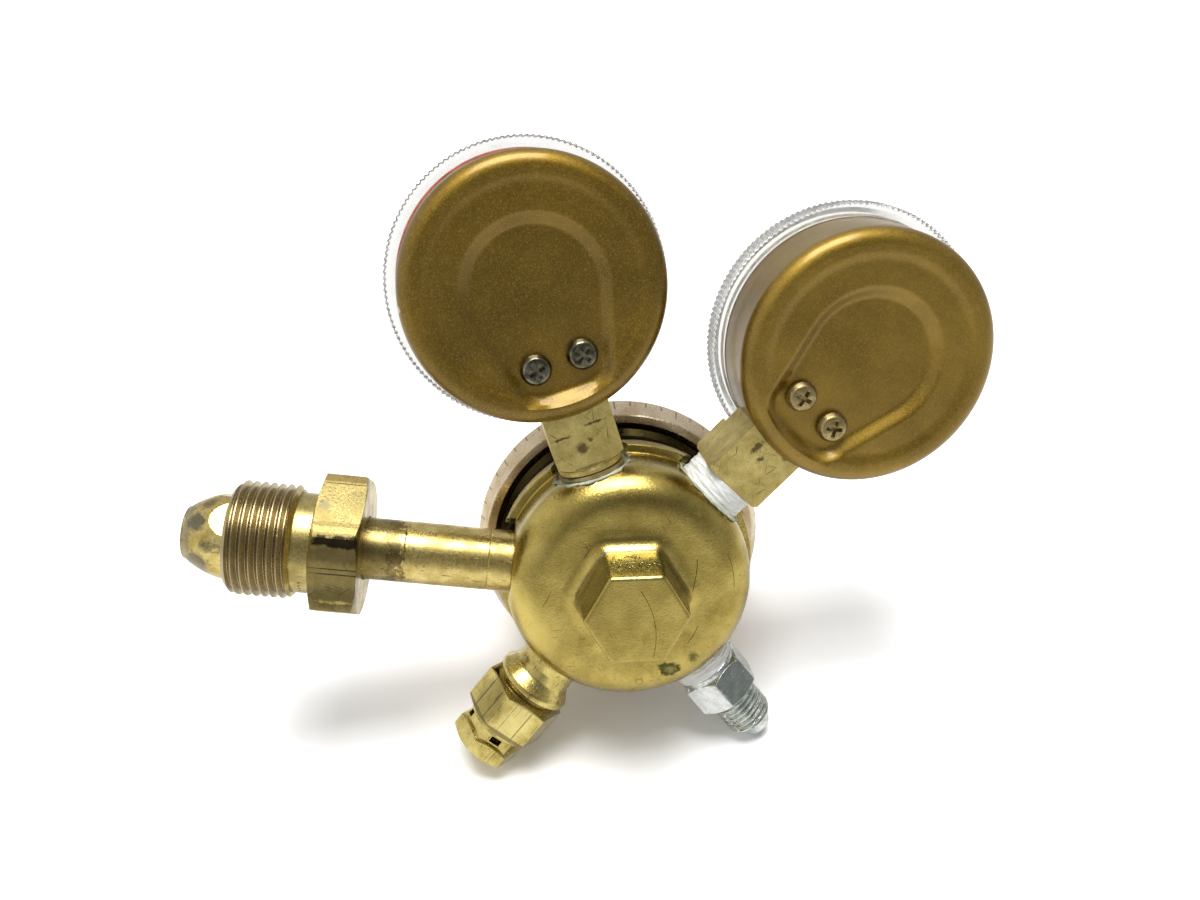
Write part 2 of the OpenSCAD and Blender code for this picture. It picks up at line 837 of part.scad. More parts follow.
module inlet_nut() {
  color(dull_brass)
    on_port(180)
      difference() {
        union() {
          rotate([0, 0, nut_turn])
            chamfered_hexagon(nut_flats, nut_near, nut_hex_far);
          translate([0, 0, nut_hex_far - 1])
            cylinder(r = nut_collar_r, h = nut_collar_length + 2);
          rotate_extrude()
            polygon([
              [0, nut_collar_far], [nut_collar_r, nut_collar_far], [nut_thread_r, nut_collar_far + 1],
              [nut_thread_r, nut_far - 1.2], [nut_collar_r, nut_far], [0, nut_far]
            ]);
        }
        translate([0, 0, nut_near - 1])
          cylinder(r = nut_bore_r, h = nut_far);
        translate([0, 0, nut_seat])
          cylinder(r = nut_mouth_r, h = 10);
      }
}

// Relief valve

module relief_body() {
  neck = arc(relief_bead_r - 1.5, relief_hex_near - 2.6, 1.5, -50, 80, 6);
  color(brass)
    on_port(relief_angle)
      difference() {
        union() {
          translate([0, 0, thread_start])
            cylinder(r = port_thread_r, h = fitting_foot - thread_start + 1);
          rotate_extrude()
            polygon(concat(
              [[0, fitting_foot], [relief_neck_r, fitting_foot], [relief_neck_r, fitting_foot + 2.5]],
              neck,
              [
                [relief_bead_r - 1.7, relief_hex_near - 0.9], [relief_bead_r - 1.7, relief_hex_near - 0.5],
                [relief_flats / 2 - 0.5, relief_hex_near], [0, relief_hex_near + 1]
              ]
            ));
          rotate([0, 0, relief_turn])
            chamfered_hexagon(relief_flats, relief_hex_near, relief_hex_far);
          translate([0, 0, relief_hex_far - 1])
            cylinder(r = relief_ring_r, h = relief_ring_t + 1);
        }
        translate([0, 0, thread_start - 1])
          cylinder(r = fitting_bore_r, h = relief_bore_near - thread_start + 2);
        translate([0, 0, relief_bore_near])
          cylinder(r = relief_bore_r, h = relief_hex_length + relief_ring_t);
      }
}

module relief_cap() {
  color(brass)
    on_port(relief_angle)
      difference() {
        union() {
          translate([0, 0, relief_cap_near - relief_cap_thread])
            cylinder(r = relief_bore_r - seat_gap, h = relief_cap_thread + 0.5);
          hexagon(relief_cap_flats - 1.6, relief_cap_near + seat_gap, relief_cap_head + 0.5);
          chamfered_hexagon(relief_cap_flats, relief_cap_head, relief_cap_far);
        }
        translate([0, 0, relief_cap_near - relief_cap_thread - 1])
          cylinder(r = relief_well_r, h = relief_roof - relief_cap_near + relief_cap_thread + 1);
        for (side = [0, 90])
          rotate([0, 0, side])
            translate([-10, -1.3, relief_cap_near + 0.6])
              cube([20, 2.6, relief_slot_t - 1.1]);
      }
}

module relief_poppet() {
  stop = relief_roof - relief_travel - joint_gap;
  color(brass)
    on_port(relief_angle)
      difference() {
        union() {
          translate([0, 0, relief_bore_near + joint_gap])
            cylinder(r = relief_bore_r - 0.4, h = relief_poppet_t);
          translate([0, 0, relief_bore_near + 1])
            cylinder(r = relief_coil_r - relief_wire / 2 - 0.3, h = stop - relief_bore_near - 1);
        }
        translate([0, 0, relief_bore_near - 1])
          cylinder(r = 3.6 + seat_gap, h = 1 + relief_seat_t);
      }
}

module relief_seat() {
  color(rubber)
    on_port(relief_angle)
      translate([0, 0, relief_bore_near + seat_gap])
        cylinder(r = 3.6, h = relief_seat_t - 2 * seat_gap);
}

module relief_spring() {
  from = relief_bore_near + relief_poppet_t + 2 * joint_gap;
  color(steel)
    on_port(relief_angle)
      translate([0, 0, from])
        coil_spring(relief_wire, relief_coil_r, relief_roof - from - joint_gap, 5);
}

// Outlet

module outlet_fitting() {
  color(zinc)
    on_port(outlet_angle)
      difference() {
        union() {
          translate([0, 0, thread_start])
            cylinder(r = port_thread_r, h = outlet_hex_near - thread_start + 0.5);
          rotate_extrude()
            polygon([
              [0, outlet_hex_near - outlet_collar_length],
              [outlet_collar_r - 0.5, outlet_hex_near - outlet_collar_length],
              [outlet_collar_r, outlet_hex_near - 0.7], [outlet_collar_r, outlet_hex_near + 0.6],
              [0, outlet_hex_near + 0.6]
            ]);
          rotate([0, 0, outlet_turn])
            chamfered_hexagon(outlet_flats, outlet_hex_near, outlet_hex_far);
          rotate_extrude()
            polygon([
              [0, outlet_hex_far - 1], [flare_thread_r - 0.7, outlet_hex_far - 1],
              [flare_thread_r - 0.7, outlet_hex_far + 0.8], [flare_thread_r, outlet_hex_far + 1.5],
              [flare_thread_r, flare_far - 0.7], [flare_thread_r - 0.4, flare_far],
              [flare_tip_r + 0.4, flare_tip - 0.3], [flare_tip_r - 0.2, flare_tip], [0, flare_tip]
            ]);
        }
        translate([0, 0, thread_start - 1])
          cylinder(r = fitting_bore_r, h = flare_tip);
      }
}

// Wraps of tape round a pipe thread, and round the collar above it
module thread_tape(angle, collar, to, inner_r, outer_r) {
  on_port(angle)
    difference() {
      tube(outer_r, port_thread_r + seat_gap, fitting_foot, to);
      translate([0, 0, collar - seat_gap])
        cylinder(r = inner_r + seat_gap, h = to - collar + 1);
    }
}

module high_gauge_tape() {
  foot = high_reach - stem_length - collar_length;
  color(tape_white)
    thread_tape(high_angle, foot, foot - seat_gap, collar_r, port_thread_r + tape_t);
}

module low_gauge_tape() {
  square_foot = low_reach - stem_length;
  color(tape_white)
    thread_tape(low_angle, square_foot - collar_length, square_foot - seat_gap, collar_r, collar_r + tape_t);
}

module outlet_tape() {
  foot = outlet_hex_near - outlet_collar_length;
  color(tape_white)
    thread_tape(outlet_angle, foot, foot - seat_gap, port_thread_r, port_thread_r + tape_t);
}

// Gauges

module gauge_socket(gauge) {
  square_foot = gauge[2] - stem_length;
  foot = square_foot - collar_length;
  top = gauge[2] - socket_top;
  color(dull_brass)
    on_stem(gauge)
      difference() {
        union() {
          translate([0, 0, thread_start])
            cylinder(r = port_thread_r, h = foot - thread_start + 1);
          rotate_extrude()
            polygon([
              [0, foot], [collar_r - 0.4, foot], [collar_r, foot + 0.4], [collar_r, square_foot + 0.5],
              [0, square_foot + 0.5]
            ]);
          intersection() {
            translate([-socket_half, -socket_half, square_foot])
              cube([socket_side, socket_side, top - square_foot]);
            rotate_extrude()
              polygon([
                [0, square_foot], [socket_half * 1.27, square_foot],
                [socket_half * 1.45, square_foot + socket_chamfer], [socket_half * 1.45, top], [0, top]
              ]);
          }
        }
        translate([-20, lens_back - 0.3, gauge[2] - socket_step])
          cube([40, 20, 60]);
        translate([-20, block_front, gauge[2] - socket_case_level])
          cube([40, 20, 60]);
        translate([0, 0, thread_start - 1])
          cylinder(r = socket_bore_r, h = gauge[2] - bourdon_r - thread_start);
        for (side = [-1, 1])
          translate([side * back_screw_gap / 2, -socket_half - 1, gauge[2] - back_screw_down])
            rotate([-90, 0, 0])
              cylinder(r = back_screw_r + seat_gap, h = back_screw_length);
        translate([0, 0, gauge[2]])
          rotate([-90, 0, 0])
            bourdon_arc(seat_gap, 0);
      }
}

// Flattened tube bent about the dial centre: wall 0 gives it solid, as a cutter
module bourdon_arc(grow, wall) {
  half_flat = bourdon_width / 2 - bourdon_thick / 2;
  translate([0, 0, bourdon_mid])
    rotate([0, 0, tip_angle])
      rotate_extrude(angle = bourdon_sweep, $fn = 96)
        translate([bourdon_r, 0])
          difference() {
            flat_oval(half_flat, bourdon_thick / 2 + grow);
            if (wall > 0)
              flat_oval(half_flat, bourdon_thick / 2 - wall);
          }
}

module flat_oval(half_flat, r) {
  square([2 * r, 2 * half_flat], center = true);
  for (side = [-1, 1])
    translate([0, side * half_flat])
      circle(r = r, $fn = 24);
}

module bourdon_tube(gauge) {
  color("#b38a3c")
    on_dial(gauge) {
      bourdon_arc(0, bourdon_wall);
      translate([tip_x, tip_y, bourdon_mid - bourdon_width / 2 - 0.3])
        rotate([0, 0, tip_angle - 90])
          translate([-0.6, -1.5, 0])
            cube([3.6, 3, bourdon_width + 0.6]);
      translate([tip_x, tip_y, bourdon_mid])
        rotate([0, 0, tip_angle - 90])
          translate([1.8, 0, 0]) {
            cylinder(r = 1.2, h = link_back - joint_gap - bourdon_mid);
            cylinder(r = link_pin_r, h = link_back + link_t + 0.5 - bourdon_mid);
          }
    }
}

// Outline of the pressed recess: round about the dial, narrowing towards the stem
module recess_outline(grow) {
  big = recess_r + grow;
  small = recess_end_r + grow;
  reach = norm([recess_end_x, recess_end - recess_end_r]);
  lean = atan2(recess_end_x, recess_end - recess_end_r);
  spread = acos((recess_r - recess_end_r) / reach);
  side = 90 - lean - spread;
  mid_x = recess_end_x;
  mid_y = recess_end - recess_end_r;
  circle(r = big);
  for (mirror_x = [0, 1])
    mirror([mirror_x, 0])
      translate([mid_x, mid_y])
        circle(r = small, $fn = 32);
  polygon([
    [0, 0], big * [cos(side), sin(side)], [mid_x, mid_y] + small * [cos(side), sin(side)],
    [mid_x, mid_y + small], [-mid_x, mid_y + small],
    [-mid_x, mid_y] + small * [-cos(side), sin(side)], big * [-cos(side), sin(side)]
  ]);
}

module gauge_case(gauge) {
  rim = arc(case_r - case_rim_r, -case_rear + case_rim_r, case_rim_r, 0, -90, 8);
  step_r = 0.8 * case_r;
  inner_rim = arc(case_r - case_rim_r, -case_rear + case_rim_r, case_rim_r - case_t, 0, -90, 8);
  color(gauge_gold)
    on_dial(gauge)
      difference() {
        union() {
          rotate_extrude($fn = 96)
            polygon(concat(
              [[case_r, case_front]], rim,
              [[step_r + 1, -case_rear], [step_r - 1, -case_rear + 0.5], [0, -case_rear + 0.5]],
              [[0, -case_rear + 0.5 + case_t], [step_r - 1, -case_rear + 0.5 + case_t]],
              [[step_r + 1, -case_rear + case_t]],
              [for (i = [len(inner_rim) - 1 : -1 : 0]) inner_rim[i]],
              [[case_r - case_t, case_front]]
            ));
          translate([0, 0, -case_rear + 0.6])
            linear_extrude(recess_depth + case_t - 0.6)
              recess_outline(case_t);
        }
        translate([0, 0, -case_rear - 1])
          linear_extrude(recess_depth + 1)
            recess_outline(0);
        translate([-socket_half - 0.15, case_r - 3.5, -socket_half - 0.15])
          cube([socket_side + 0.3, 20, 30]);
        for (side = [-1, 1])
          translate([side * back_screw_gap / 2, back_screw_down, -case_rear])
            cylinder(r = back_screw_r + 0.2, h = 6);
      }
}

module back_screws(gauge) {
  head_back = -case_rear + recess_depth - seat_gap;
  color("#3f3a32")
    on_dial(gauge)
      for (side = [-1, 1])
        translate([side * back_screw_gap / 2, back_screw_down, head_back])
          difference() {
            union() {
              cylinder(r = back_screw_r, h = back_screw_length - 0.8);
              rotate_extrude()
                polygon(concat(
                  [[0, 0]],
                  [[back_screw_head_r, 0]],
                  arc(back_screw_head_r - 1.5, -back_screw_head_t + 1.5, 1.5, 0, -90, 4),
                  [[0, -back_screw_head_t]]
                ));
            }
            for (turn = [0, 90])
              rotate([0, 0, turn + 20])
                translate([-1.9, -0.4, -back_screw_head_t - 1])
                  cube([3.8, 0.8, 2.2]);
          }
}

// Rounded plate of the movement, from the top of the dial down to the socket
module frame_plate(from) {
  difference() {
    translate([0, 0, from]) {
      translate([-plate_w / 2, frame_top + 2, 0])
        cube([plate_w, frame_foot - frame_top - 4, frame_t]);
      translate([-plate_w / 2 + 2, frame_top, 0])
        cube([plate_w - 4, frame_foot - frame_top, frame_t]);
      for (x = [-plate_w / 2 + 2, plate_w / 2 - 2])
        for (y = [frame_top + 2, frame_foot - 2])
          translate([x, y, 0])
            cylinder(r = 2, h = frame_t);
    }
    translate([0, 0, from - 1])
      cylinder(r = arbor_hole_r, h = frame_t + 2);
    translate([0, gear_centres, from - 1])
      cylinder(r = arbor_hole_r, h = frame_t + 2);
  }
}

module movement_frame(gauge) {
  color("#a88a45")
    on_dial(gauge) {
      frame_plate(back_plate + seat_gap);
      frame_plate(front_plate);
      for (p = pillars)
        translate([p[0], p[1], back_plate + seat_gap + frame_t / 2])
          cylinder(r = pillar_r, h = front_plate - back_plate);
      for (x = [-5, 5])
        translate([x, 0, front_plate + frame_t / 2])
          cylinder(r = pillar_r, h = dial_back - front_plate - frame_t / 2 - seat_gap);
    }
}

module sector_gear(gauge) {
  count = ceil(sector_sweep / (360 / sector_teeth)) + 4;
  mesh = 270 + 180 / sector_teeth;
  step = 360 / sector_teeth;
  start = mesh + step - count * step;
  rim_r = sector_r - 1.9;
  teeth = gear_points(sector_teeth, start, count);
  low = start - 0.5 * step;
  high = start + (count - 0.5) * step;
  root = sector_r - 1.2 * tooth_module;
  color("#b99a52")
    on_dial(gauge)
      translate([0, gear_centres, 0]) {
        translate([0, 0, sector_back])
          linear_extrude(sector_t)
            union() {
              polygon(concat(
                [root * [cos(low), sin(low)]], teeth, [root * [cos(high), sin(high)]],
                arc(0, 0, rim_r, high, low, 12)
              ));
              circle(r = 1.7, $fn = 32);
              for (a = [low + 4, high - 4])
                rotate(a)
                  translate([0, -0.7])
                    square([rim_r + 0.4, 1.4]);
              rotate(tail_angle) {
                translate([0, -0.8])
                  square([tail_length, 1.6]);
                translate([tail_length, 0])
                  circle(r = link_end_r, $fn = 24);
              }
            }
        translate([0, 0, back_plate + 0.3])
          cylinder(r = arbor_r, h = front_plate + frame_t - back_plate - 0.4);
        rotate([0, 0, tail_angle])
          translate([tail_length, 0, sector_back])
            cylinder(r = link_pin_r, h = link_back + link_t + 0.4 - sector_back);
      }
}

module link(gauge) {
  tail = [tail_length * cos(tail_angle), gear_centres + tail_length * sin(tail_angle)];
  tip = [tip_x, tip_y] + 1.8 * [cos(tip_angle - 90), sin(tip_angle - 90)];
  span = tip - tail;
  color(steel)
    on_dial(gauge)
      translate([tail[0], tail[1], link_back])
        rotate([0, 0, atan2(span[1], span[0])])
          difference() {
            union() {
              translate([0, -0.75, 0])
                cube([norm(span), 1.5, link_t]);
              cylinder(r = link_end_r, h = link_t, $fn = 24);
              translate([norm(span), 0, 0])
                cylinder(r = link_end_r, h = link_t, $fn = 24);
            }
            translate([0, 0, -1])
              cylinder(r = link_hole_r, h = 3, $fn = 24);
            translate([norm(span), 0, -1])
              cylinder(r = link_hole_r, h = 3, $fn = 24);
          }
}

module pinion(gauge) {
  color("#b99a52")
    on_dial(gauge) {
      translate([0, 0, sector_back - 0.3])
        linear_extrude(sector_t + 0.6)
          polygon(gear_points(pinion_teeth, 90, pinion_teeth));
      translate([0, 0, back_plate + 0.3])
        cylinder(r = arbor_r, h = pointer_back - back_plate - 0.3);
    }
}

module pointer(gauge) {
  color("#1c1c1c")
    on_dial(gauge)
      rotate([0, 0, zero_angle])
        difference() {
          translate([0, 0, pointer_back]) {
            linear_extrude(pointer_t)
              polygon([
                [-pointer_tail, -pointer_tail_w], [-pointer_tail, pointer_tail_w], [0, pointer_w],
                [pointer_length, pointer_tip_w], [pointer_length, -pointer_tip_w], [0, -pointer_w]
              ]);
            cylinder(r = pointer_hub_r, h = pointer_t + 0.7);
          }
          translate([0, 0, pointer_back - 1])
            cylinder(r = arbor_r + seat_gap, h = 1 + pointer_t);
        }
}

module dial(gauge) {
  color("#f1efe6")
    on_dial(gauge)
      difference() {
        translate([0, 0, dial_back])
          cylinder(r = dial_r, h = dial_t, $fn = 96);
        translate([0, 0, dial_back - 1])
          cylinder(r = 1.4, h = dial_t + 2);
      }
}

module lens_gasket(gauge) {
  color("#c4552d")
    on_dial(gauge)
      tube(case_r, case_r - 2.2, case_front + seat_gap, case_front + 0.8);
}

module lens(gauge) {
  ring_seat = case_front + 0.8 + seat_gap;
  color(clear)
    on_dial(gauge)
      rotate_extrude($fn = 96)
        polygon([
          [lens_wall_r, lens_back], [lens_r - 0.4, lens_back], [lens_r, lens_back + 0.4],
          [lens_r, lens_band_front - 0.4], [lens_r - 0.4, lens_band_front],
          [lens_r - 1.4, lens_band_front + 0.3], [lens_r - 2.6, lens_front - 0.5],
          [lens_r - 4, lens_front], [0, lens_front], [0, lens_front - window_t],
          [case_r - 2.4, lens_front - window_t], [case_r - 2.4, ring_seat], [lens_wall_r, ring_seat]
        ]);
}

regulator_body();
bonnet();
slip_ring();
diaphragm();
diaphragm_plate();
diaphragm_washer();
main_spring();
spring_button();
adjusting_screw();
adjusting_knob();
knob_set_screw();
nozzle();
poppet();
poppet_seat();
poppet_spring();
inlet_nipple();
inlet_filter();
inlet_nut();
relief_body();
relief_cap();
relief_poppet();
relief_seat();
relief_spring();
outlet_fitting();
outlet_tape();
gauge_socket(high_gauge);  // high_gauge_socket
high_gauge_tape();
gauge_case(high_gauge);  // high_gauge_case
back_screws(high_gauge);  // high_back_screws
bourdon_tube(high_gauge);  // high_bourdon_tube
movement_frame(high_gauge);  // high_movement_frame
sector_gear(high_gauge);  // high_sector_gear
link(high_gauge);  // high_link
pinion(high_gauge);  // high_pinion
pointer(high_gauge);  // high_pointer
dial(high_gauge);  // high_dial
lens_gasket(high_gauge);  // high_lens_gasket
lens(high_gauge);  // high_lens
gauge_socket(low_gauge);  // low_gauge_socket
low_gauge_tape();
gauge_case(low_gauge);  // low_gauge_case
back_screws(low_gauge);  // low_back_screws
bourdon_tube(low_gauge);  // low_bourdon_tube
movement_frame(low_gauge);  // low_movement_frame
sector_gear(low_gauge);  // low_sector_gear
link(low_gauge);  // low_link
pinion(low_gauge);  // low_pinion
pointer(low_gauge);  // low_pointer
dial(low_gauge);  // low_dial
lens_gasket(low_gauge);  // low_lens_gasket
lens(low_gauge);  // low_lens
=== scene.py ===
"""Two-gauge pressure regulator for a gas cylinder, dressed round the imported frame.

Every shape is turned, milled or pressed on its own axis in millimetres, and is then placed in
the frame in metres. The main axis points to the adjusting knob, each port leaves it at an angle,
and each gauge stands on a port with its dial towards the knob.
"""
import logging
import math
from dataclasses import dataclass
from enum import Enum
from typing import Callable, Sequence

import bmesh
import bpy
from mathutils import Matrix, Vector, noise


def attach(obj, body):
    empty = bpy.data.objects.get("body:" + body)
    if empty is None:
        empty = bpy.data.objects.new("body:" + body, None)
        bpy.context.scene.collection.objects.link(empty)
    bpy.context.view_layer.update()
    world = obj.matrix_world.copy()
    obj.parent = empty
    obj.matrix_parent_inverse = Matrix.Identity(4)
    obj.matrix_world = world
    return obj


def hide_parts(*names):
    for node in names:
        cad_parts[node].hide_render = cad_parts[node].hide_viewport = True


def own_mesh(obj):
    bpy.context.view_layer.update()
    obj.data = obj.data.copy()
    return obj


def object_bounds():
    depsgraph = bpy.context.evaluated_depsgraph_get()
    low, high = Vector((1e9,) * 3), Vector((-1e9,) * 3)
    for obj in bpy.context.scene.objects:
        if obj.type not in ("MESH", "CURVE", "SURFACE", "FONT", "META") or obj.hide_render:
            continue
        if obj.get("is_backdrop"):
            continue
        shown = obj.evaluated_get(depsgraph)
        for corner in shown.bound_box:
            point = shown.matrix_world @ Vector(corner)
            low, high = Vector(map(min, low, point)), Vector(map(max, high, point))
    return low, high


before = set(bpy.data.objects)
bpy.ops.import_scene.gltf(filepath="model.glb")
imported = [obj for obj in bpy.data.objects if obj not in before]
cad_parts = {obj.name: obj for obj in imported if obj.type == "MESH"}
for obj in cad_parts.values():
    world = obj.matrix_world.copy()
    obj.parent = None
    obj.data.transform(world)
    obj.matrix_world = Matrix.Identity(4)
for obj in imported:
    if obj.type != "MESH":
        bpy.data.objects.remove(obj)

LOG = logging.getLogger("regulator")
MM = 0.001
ROOT = "regulator"
# Half the thickness of the printed ink, in millimetres.
INK = 0.02
Points = list[tuple[float, float]]


# ---------------------------------------------------------------- where things stand

@dataclass(frozen=True)
class Stance:
    """How the regulator stands on the floor, in millimetres and degrees."""

    x: float = 6.065
    y: float = -30.568
    z: float = 42.277
    roll: float = 12.25
    pitch: float = 19.67

    def standing(self) -> Matrix:
        """Returns the place of the upright regulator."""
        turn = Matrix.Rotation(math.radians(-self.pitch), 4, "X") @ Matrix.Rotation(math.radians(self.roll), 4, "Y")
        return Matrix.Translation((self.x, self.y, self.z)) @ turn

    def on_axis(self) -> Matrix:
        """Returns the frame with Z along the main axis, towards the knob."""
        return self.standing() @ Matrix.Rotation(math.radians(-90), 4, "X")

    def on_port(self, angle: float) -> Matrix:
        """Returns the frame with Z out of the port at an angle in degrees."""
        return self.standing() @ Matrix.Rotation(math.radians(90 - angle), 4, "Y")


STANCE = Stance()


class Port(Enum):
    """The body's five ports, and the angle in degrees at which each leaves the main axis."""

    INLET = 180.0
    HIGH = 114.7
    LOW = 53.1
    RELIEF = 238.9
    OUTLET = 315.2

    def place(self) -> Matrix:
        """Returns the frame with Z out of the port."""
        return STANCE.on_port(self.value)


@dataclass(frozen=True)
class GaugePlace:
    """Where one gauge stands: its port, the swing about its stem and its reach."""

    prefix: str
    port: Port
    swing: float
    reach: float

    def on_stem(self) -> Matrix:
        """Returns the frame with Z out along the stem and Y to the dial side."""
        return self.port.place() @ Matrix.Rotation(math.radians(self.swing), 4, "Z")

    def on_dial(self) -> Matrix:
        """Returns the frame in the middle of the dial, Z to its front and Y to the stem."""
        return self.on_stem() @ Matrix.Translation((0, 0, self.reach)) @ Matrix.Rotation(math.radians(-90), 4, "X")


# ---------------------------------------------------------------- shapes on the bench

def arc(cx: float, cy: float, radius: float, start: float, end: float, steps: int = 8) -> Points:
    """Points of an arc.

    Args:
        cx, cy: its middle.
        radius: its radius.
        start, end: its angles in degrees.
        steps: the number of its chords.

    Returns:
        The points from start to end.
    """
    angles = [math.radians(start + (end - start) * i / steps) for i in range(steps + 1)]
    return [(cx + radius * math.cos(a), cy + radius * math.sin(a)) for a in angles]


def eased(corners: Sequence[tuple[float, ...]], steps: int = 3) -> Points:
    """Rounds the corners of a profile.

    Args:
        corners: (radius, height) or (radius, height, fillet) of each corner.
        steps: chords in each fillet.

    Returns:
        The profile's points with its fillets.
    """
    out: Points = []
    for i, corner in enumerate(corners):
        here = Vector(corner[:2])
        fillet = corner[2] if len(corner) > 2 else 0.0
        if fillet <= 0 or i in (0, len(corners) - 1):
            out.append((here.x, here.y))
            continue
        before = (Vector(corners[i - 1][:2]) - here).normalized()
        after = (Vector(corners[i + 1][:2]) - here).normalized()
        half = before.angle(after) / 2
        reach = fillet / math.tan(half)
        a, b = here + before * reach, here + after * reach
        for k in range(steps + 1):
            t = k / steps
            p = a * (1 - t) ** 2 + here * 2 * t * (1 - t) + b * t ** 2
            out.append((p.x, p.y))
    return out


class Workpiece:
    """A closed shape on the bench, in millimetres about its own Z axis."""

    def __init__(self, name: str) -> None:
        """Lays an empty mesh of that name on the bench.

        Args:
            name: the shape's name.
        """
        self.name = name
        self.obj = bpy.data.objects.new(name, bpy.data.meshes.new(name))
        bpy.context.scene.collection.objects.link(self.obj)

    def take(self, bm: bmesh.types.BMesh) -> "Workpiece":
        """Takes over a bmesh as the shape, and frees it.

        Args:
            bm: the new shape.

        Returns:
            The piece itself.
        """
        bm.to_mesh(self.obj.data)
        bm.free()
        return self

    def edit(self) -> bmesh.types.BMesh:
        """Opens the shape for editing.

        Returns:
            The shape as a bmesh, which take puts back.
        """
        bm = bmesh.new()
        bm.from_mesh(self.obj.data)
        return bm

    @classmethod
    def lathe(cls, name: str, profile: Points, steps: int = 128) -> "Workpiece":
        """Turns a profile about Z.

        Args:
            name: the piece's name.
            profile: (radius, height) points. It ends on the axis, or is closed onto itself.
            steps: facets round the piece.

        Returns:
            The turned piece.
        """
        bm = bmesh.new()
        verts = [bm.verts.new((r, 0, z)) for r, z in profile]
        if min(profile[0][0], profile[-1][0]) > 1e-6:
            verts.append(verts[0])
        edges = [bm.edges.new(pair) for pair in zip(verts, verts[1:])]
        geometry = list(dict.fromkeys(verts)) + edges
        bmesh.ops.spin(bm, geom=geometry, cent=(0, 0, 0), axis=(0, 0, 1), angle=math.tau, steps=steps, use_merge=True)
        bmesh.ops.remove_doubles(bm, verts=bm.verts, dist=1e-5)
        bmesh.ops.recalc_face_normals(bm, faces=bm.faces)
        return cls(name).take(bm)

    @classmethod
    def prism(cls, name: str, flats: float, low: float, high: float, turn: float = 0.0) -> "Workpiece":
        """Saws a hexagonal bar from low to high, with a corner at the turn in degrees.

        Args:
            name: the piece's name.
            flats: distance across its flats.
            low, high: its ends.
            turn: where its first corner lies, in degrees.

        Returns:
            The sawn bar.
        """
        bm = bmesh.new()
        radius = flats / 2 / math.cos(math.radians(30))
        bmesh.ops.create_cone(bm, cap_ends=True, segments=6, radius1=radius, radius2=radius, depth=high - low)
        spin = Matrix.Rotation(math.radians(turn), 4, "Z") @ Matrix.Rotation(math.radians(cls._corner(bm)), 4, "Z")
        bmesh.ops.transform(bm, matrix=Matrix.Translation((0, 0, (high + low) / 2)) @ spin, verts=bm.verts)
        return cls(name).take(bm)

    @staticmethod
    def _corner(bm: bmesh.types.BMesh) -> float:
        """Returns the turn in degrees that brings a corner of the bar onto X."""
        corner = next(iter(bm.verts)).co
        return -math.degrees(math.atan2(corner.y, corner.x))

    @classmethod
    def block(cls, name: str, low: Sequence[float], high: Sequence[float]) -> "Workpiece":
        """Saws a block between two corners.

        Args:
            name: the piece's name.
            low, high: its lowest and its highest corner.

        Returns:
            The sawn block.
        """
        bm = bmesh.new()
        bmesh.ops.create_cube(bm, size=1)
        size = [h - l for l, h in zip(low, high)]
        middle = [(h + l) / 2 for l, h in zip(low, high)]
        bmesh.ops.scale(bm, vec=size, verts=bm.verts)
        bmesh.ops.translate(bm, vec=middle, verts=bm.verts)
        return cls(name).take(bm)

    @classmethod
    def rod(cls, name: str, radius: float, low: float, high: float, steps: int = 64) -> "Workpiece":
        """Turns a plain rod from low to high."""
        return cls.lathe(name, [(0, low), (radius, low), (radius, high), (0, high)], steps)

    @classmethod
    def thread(
        cls, name: str, major: float, minor: float, pitch: float, low: float, high: float, lead: tuple[float, float],
    ) -> "Workpiece":
        """Cuts a right-hand V thread on a rod.

        Args:
            name: the piece's name.
            major, minor: radius over the crests and at the roots.
            pitch: distance from crest to crest.
            low, high: the ends of the threaded length.
            lead: how deep each end is chamfered below the crests.

        Returns:
            The threaded rod.
        """
        turns = math.ceil((high - low) / pitch) + 4
        steps = 96
        start = low - 2 * pitch
        bm = bmesh.new()
        shape = [(minor, 0), (minor, 0.06), (major, 0.46), (major, 0.58), (minor, 1)]
        verts = [bm.verts.new((r, 0, start + pitch * t)) for r, t in shape]
        edges = [bm.edges.new(pair) for pair in zip(verts, verts[1:])]
        bmesh.ops.spin(
            bm, geom=verts + edges, cent=(0, 0, 0), axis=(0, 0, 1), dvec=(0, 0, pitch / steps),
            angle=math.tau * turns, steps=steps * turns,
        )
        bmesh.ops.remove_doubles(bm, verts=bm.verts, dist=0.01)
        middle = (low + high) / 2
        for end in (low - pitch, high + pitch):
            rim = [e for e in bm.edges if e.is_boundary and (e.verts[0].co.z < middle) == (end < middle)]
            drawn = bmesh.ops.extrude_edge_only(bm, edges=rim)["geom"]
            tips = [g for g in drawn if isinstance(g, bmesh.types.BMVert)]
            bmesh.ops.pointmerge(bm, verts=tips, merge_co=(0, 0, end))
        bmesh.ops.recalc_face_normals(bm, faces=bm.faces)
        over = major + 0.4
        envelope = Workpiece.lathe("envelope", [
            (0, low), (major - lead[0], low), (over, low + lead[0] + 0.4), (over, high - lead[1] - 0.4),
            (major - lead[1], high), (0, high),
        ], 160)
        return cls(name).take(bm).meet(envelope)

    def moved(self, matrix: Matrix) -> "Workpiece":
        """Moves the shape on the bench."""
        self.obj.data.transform(matrix)
        return self

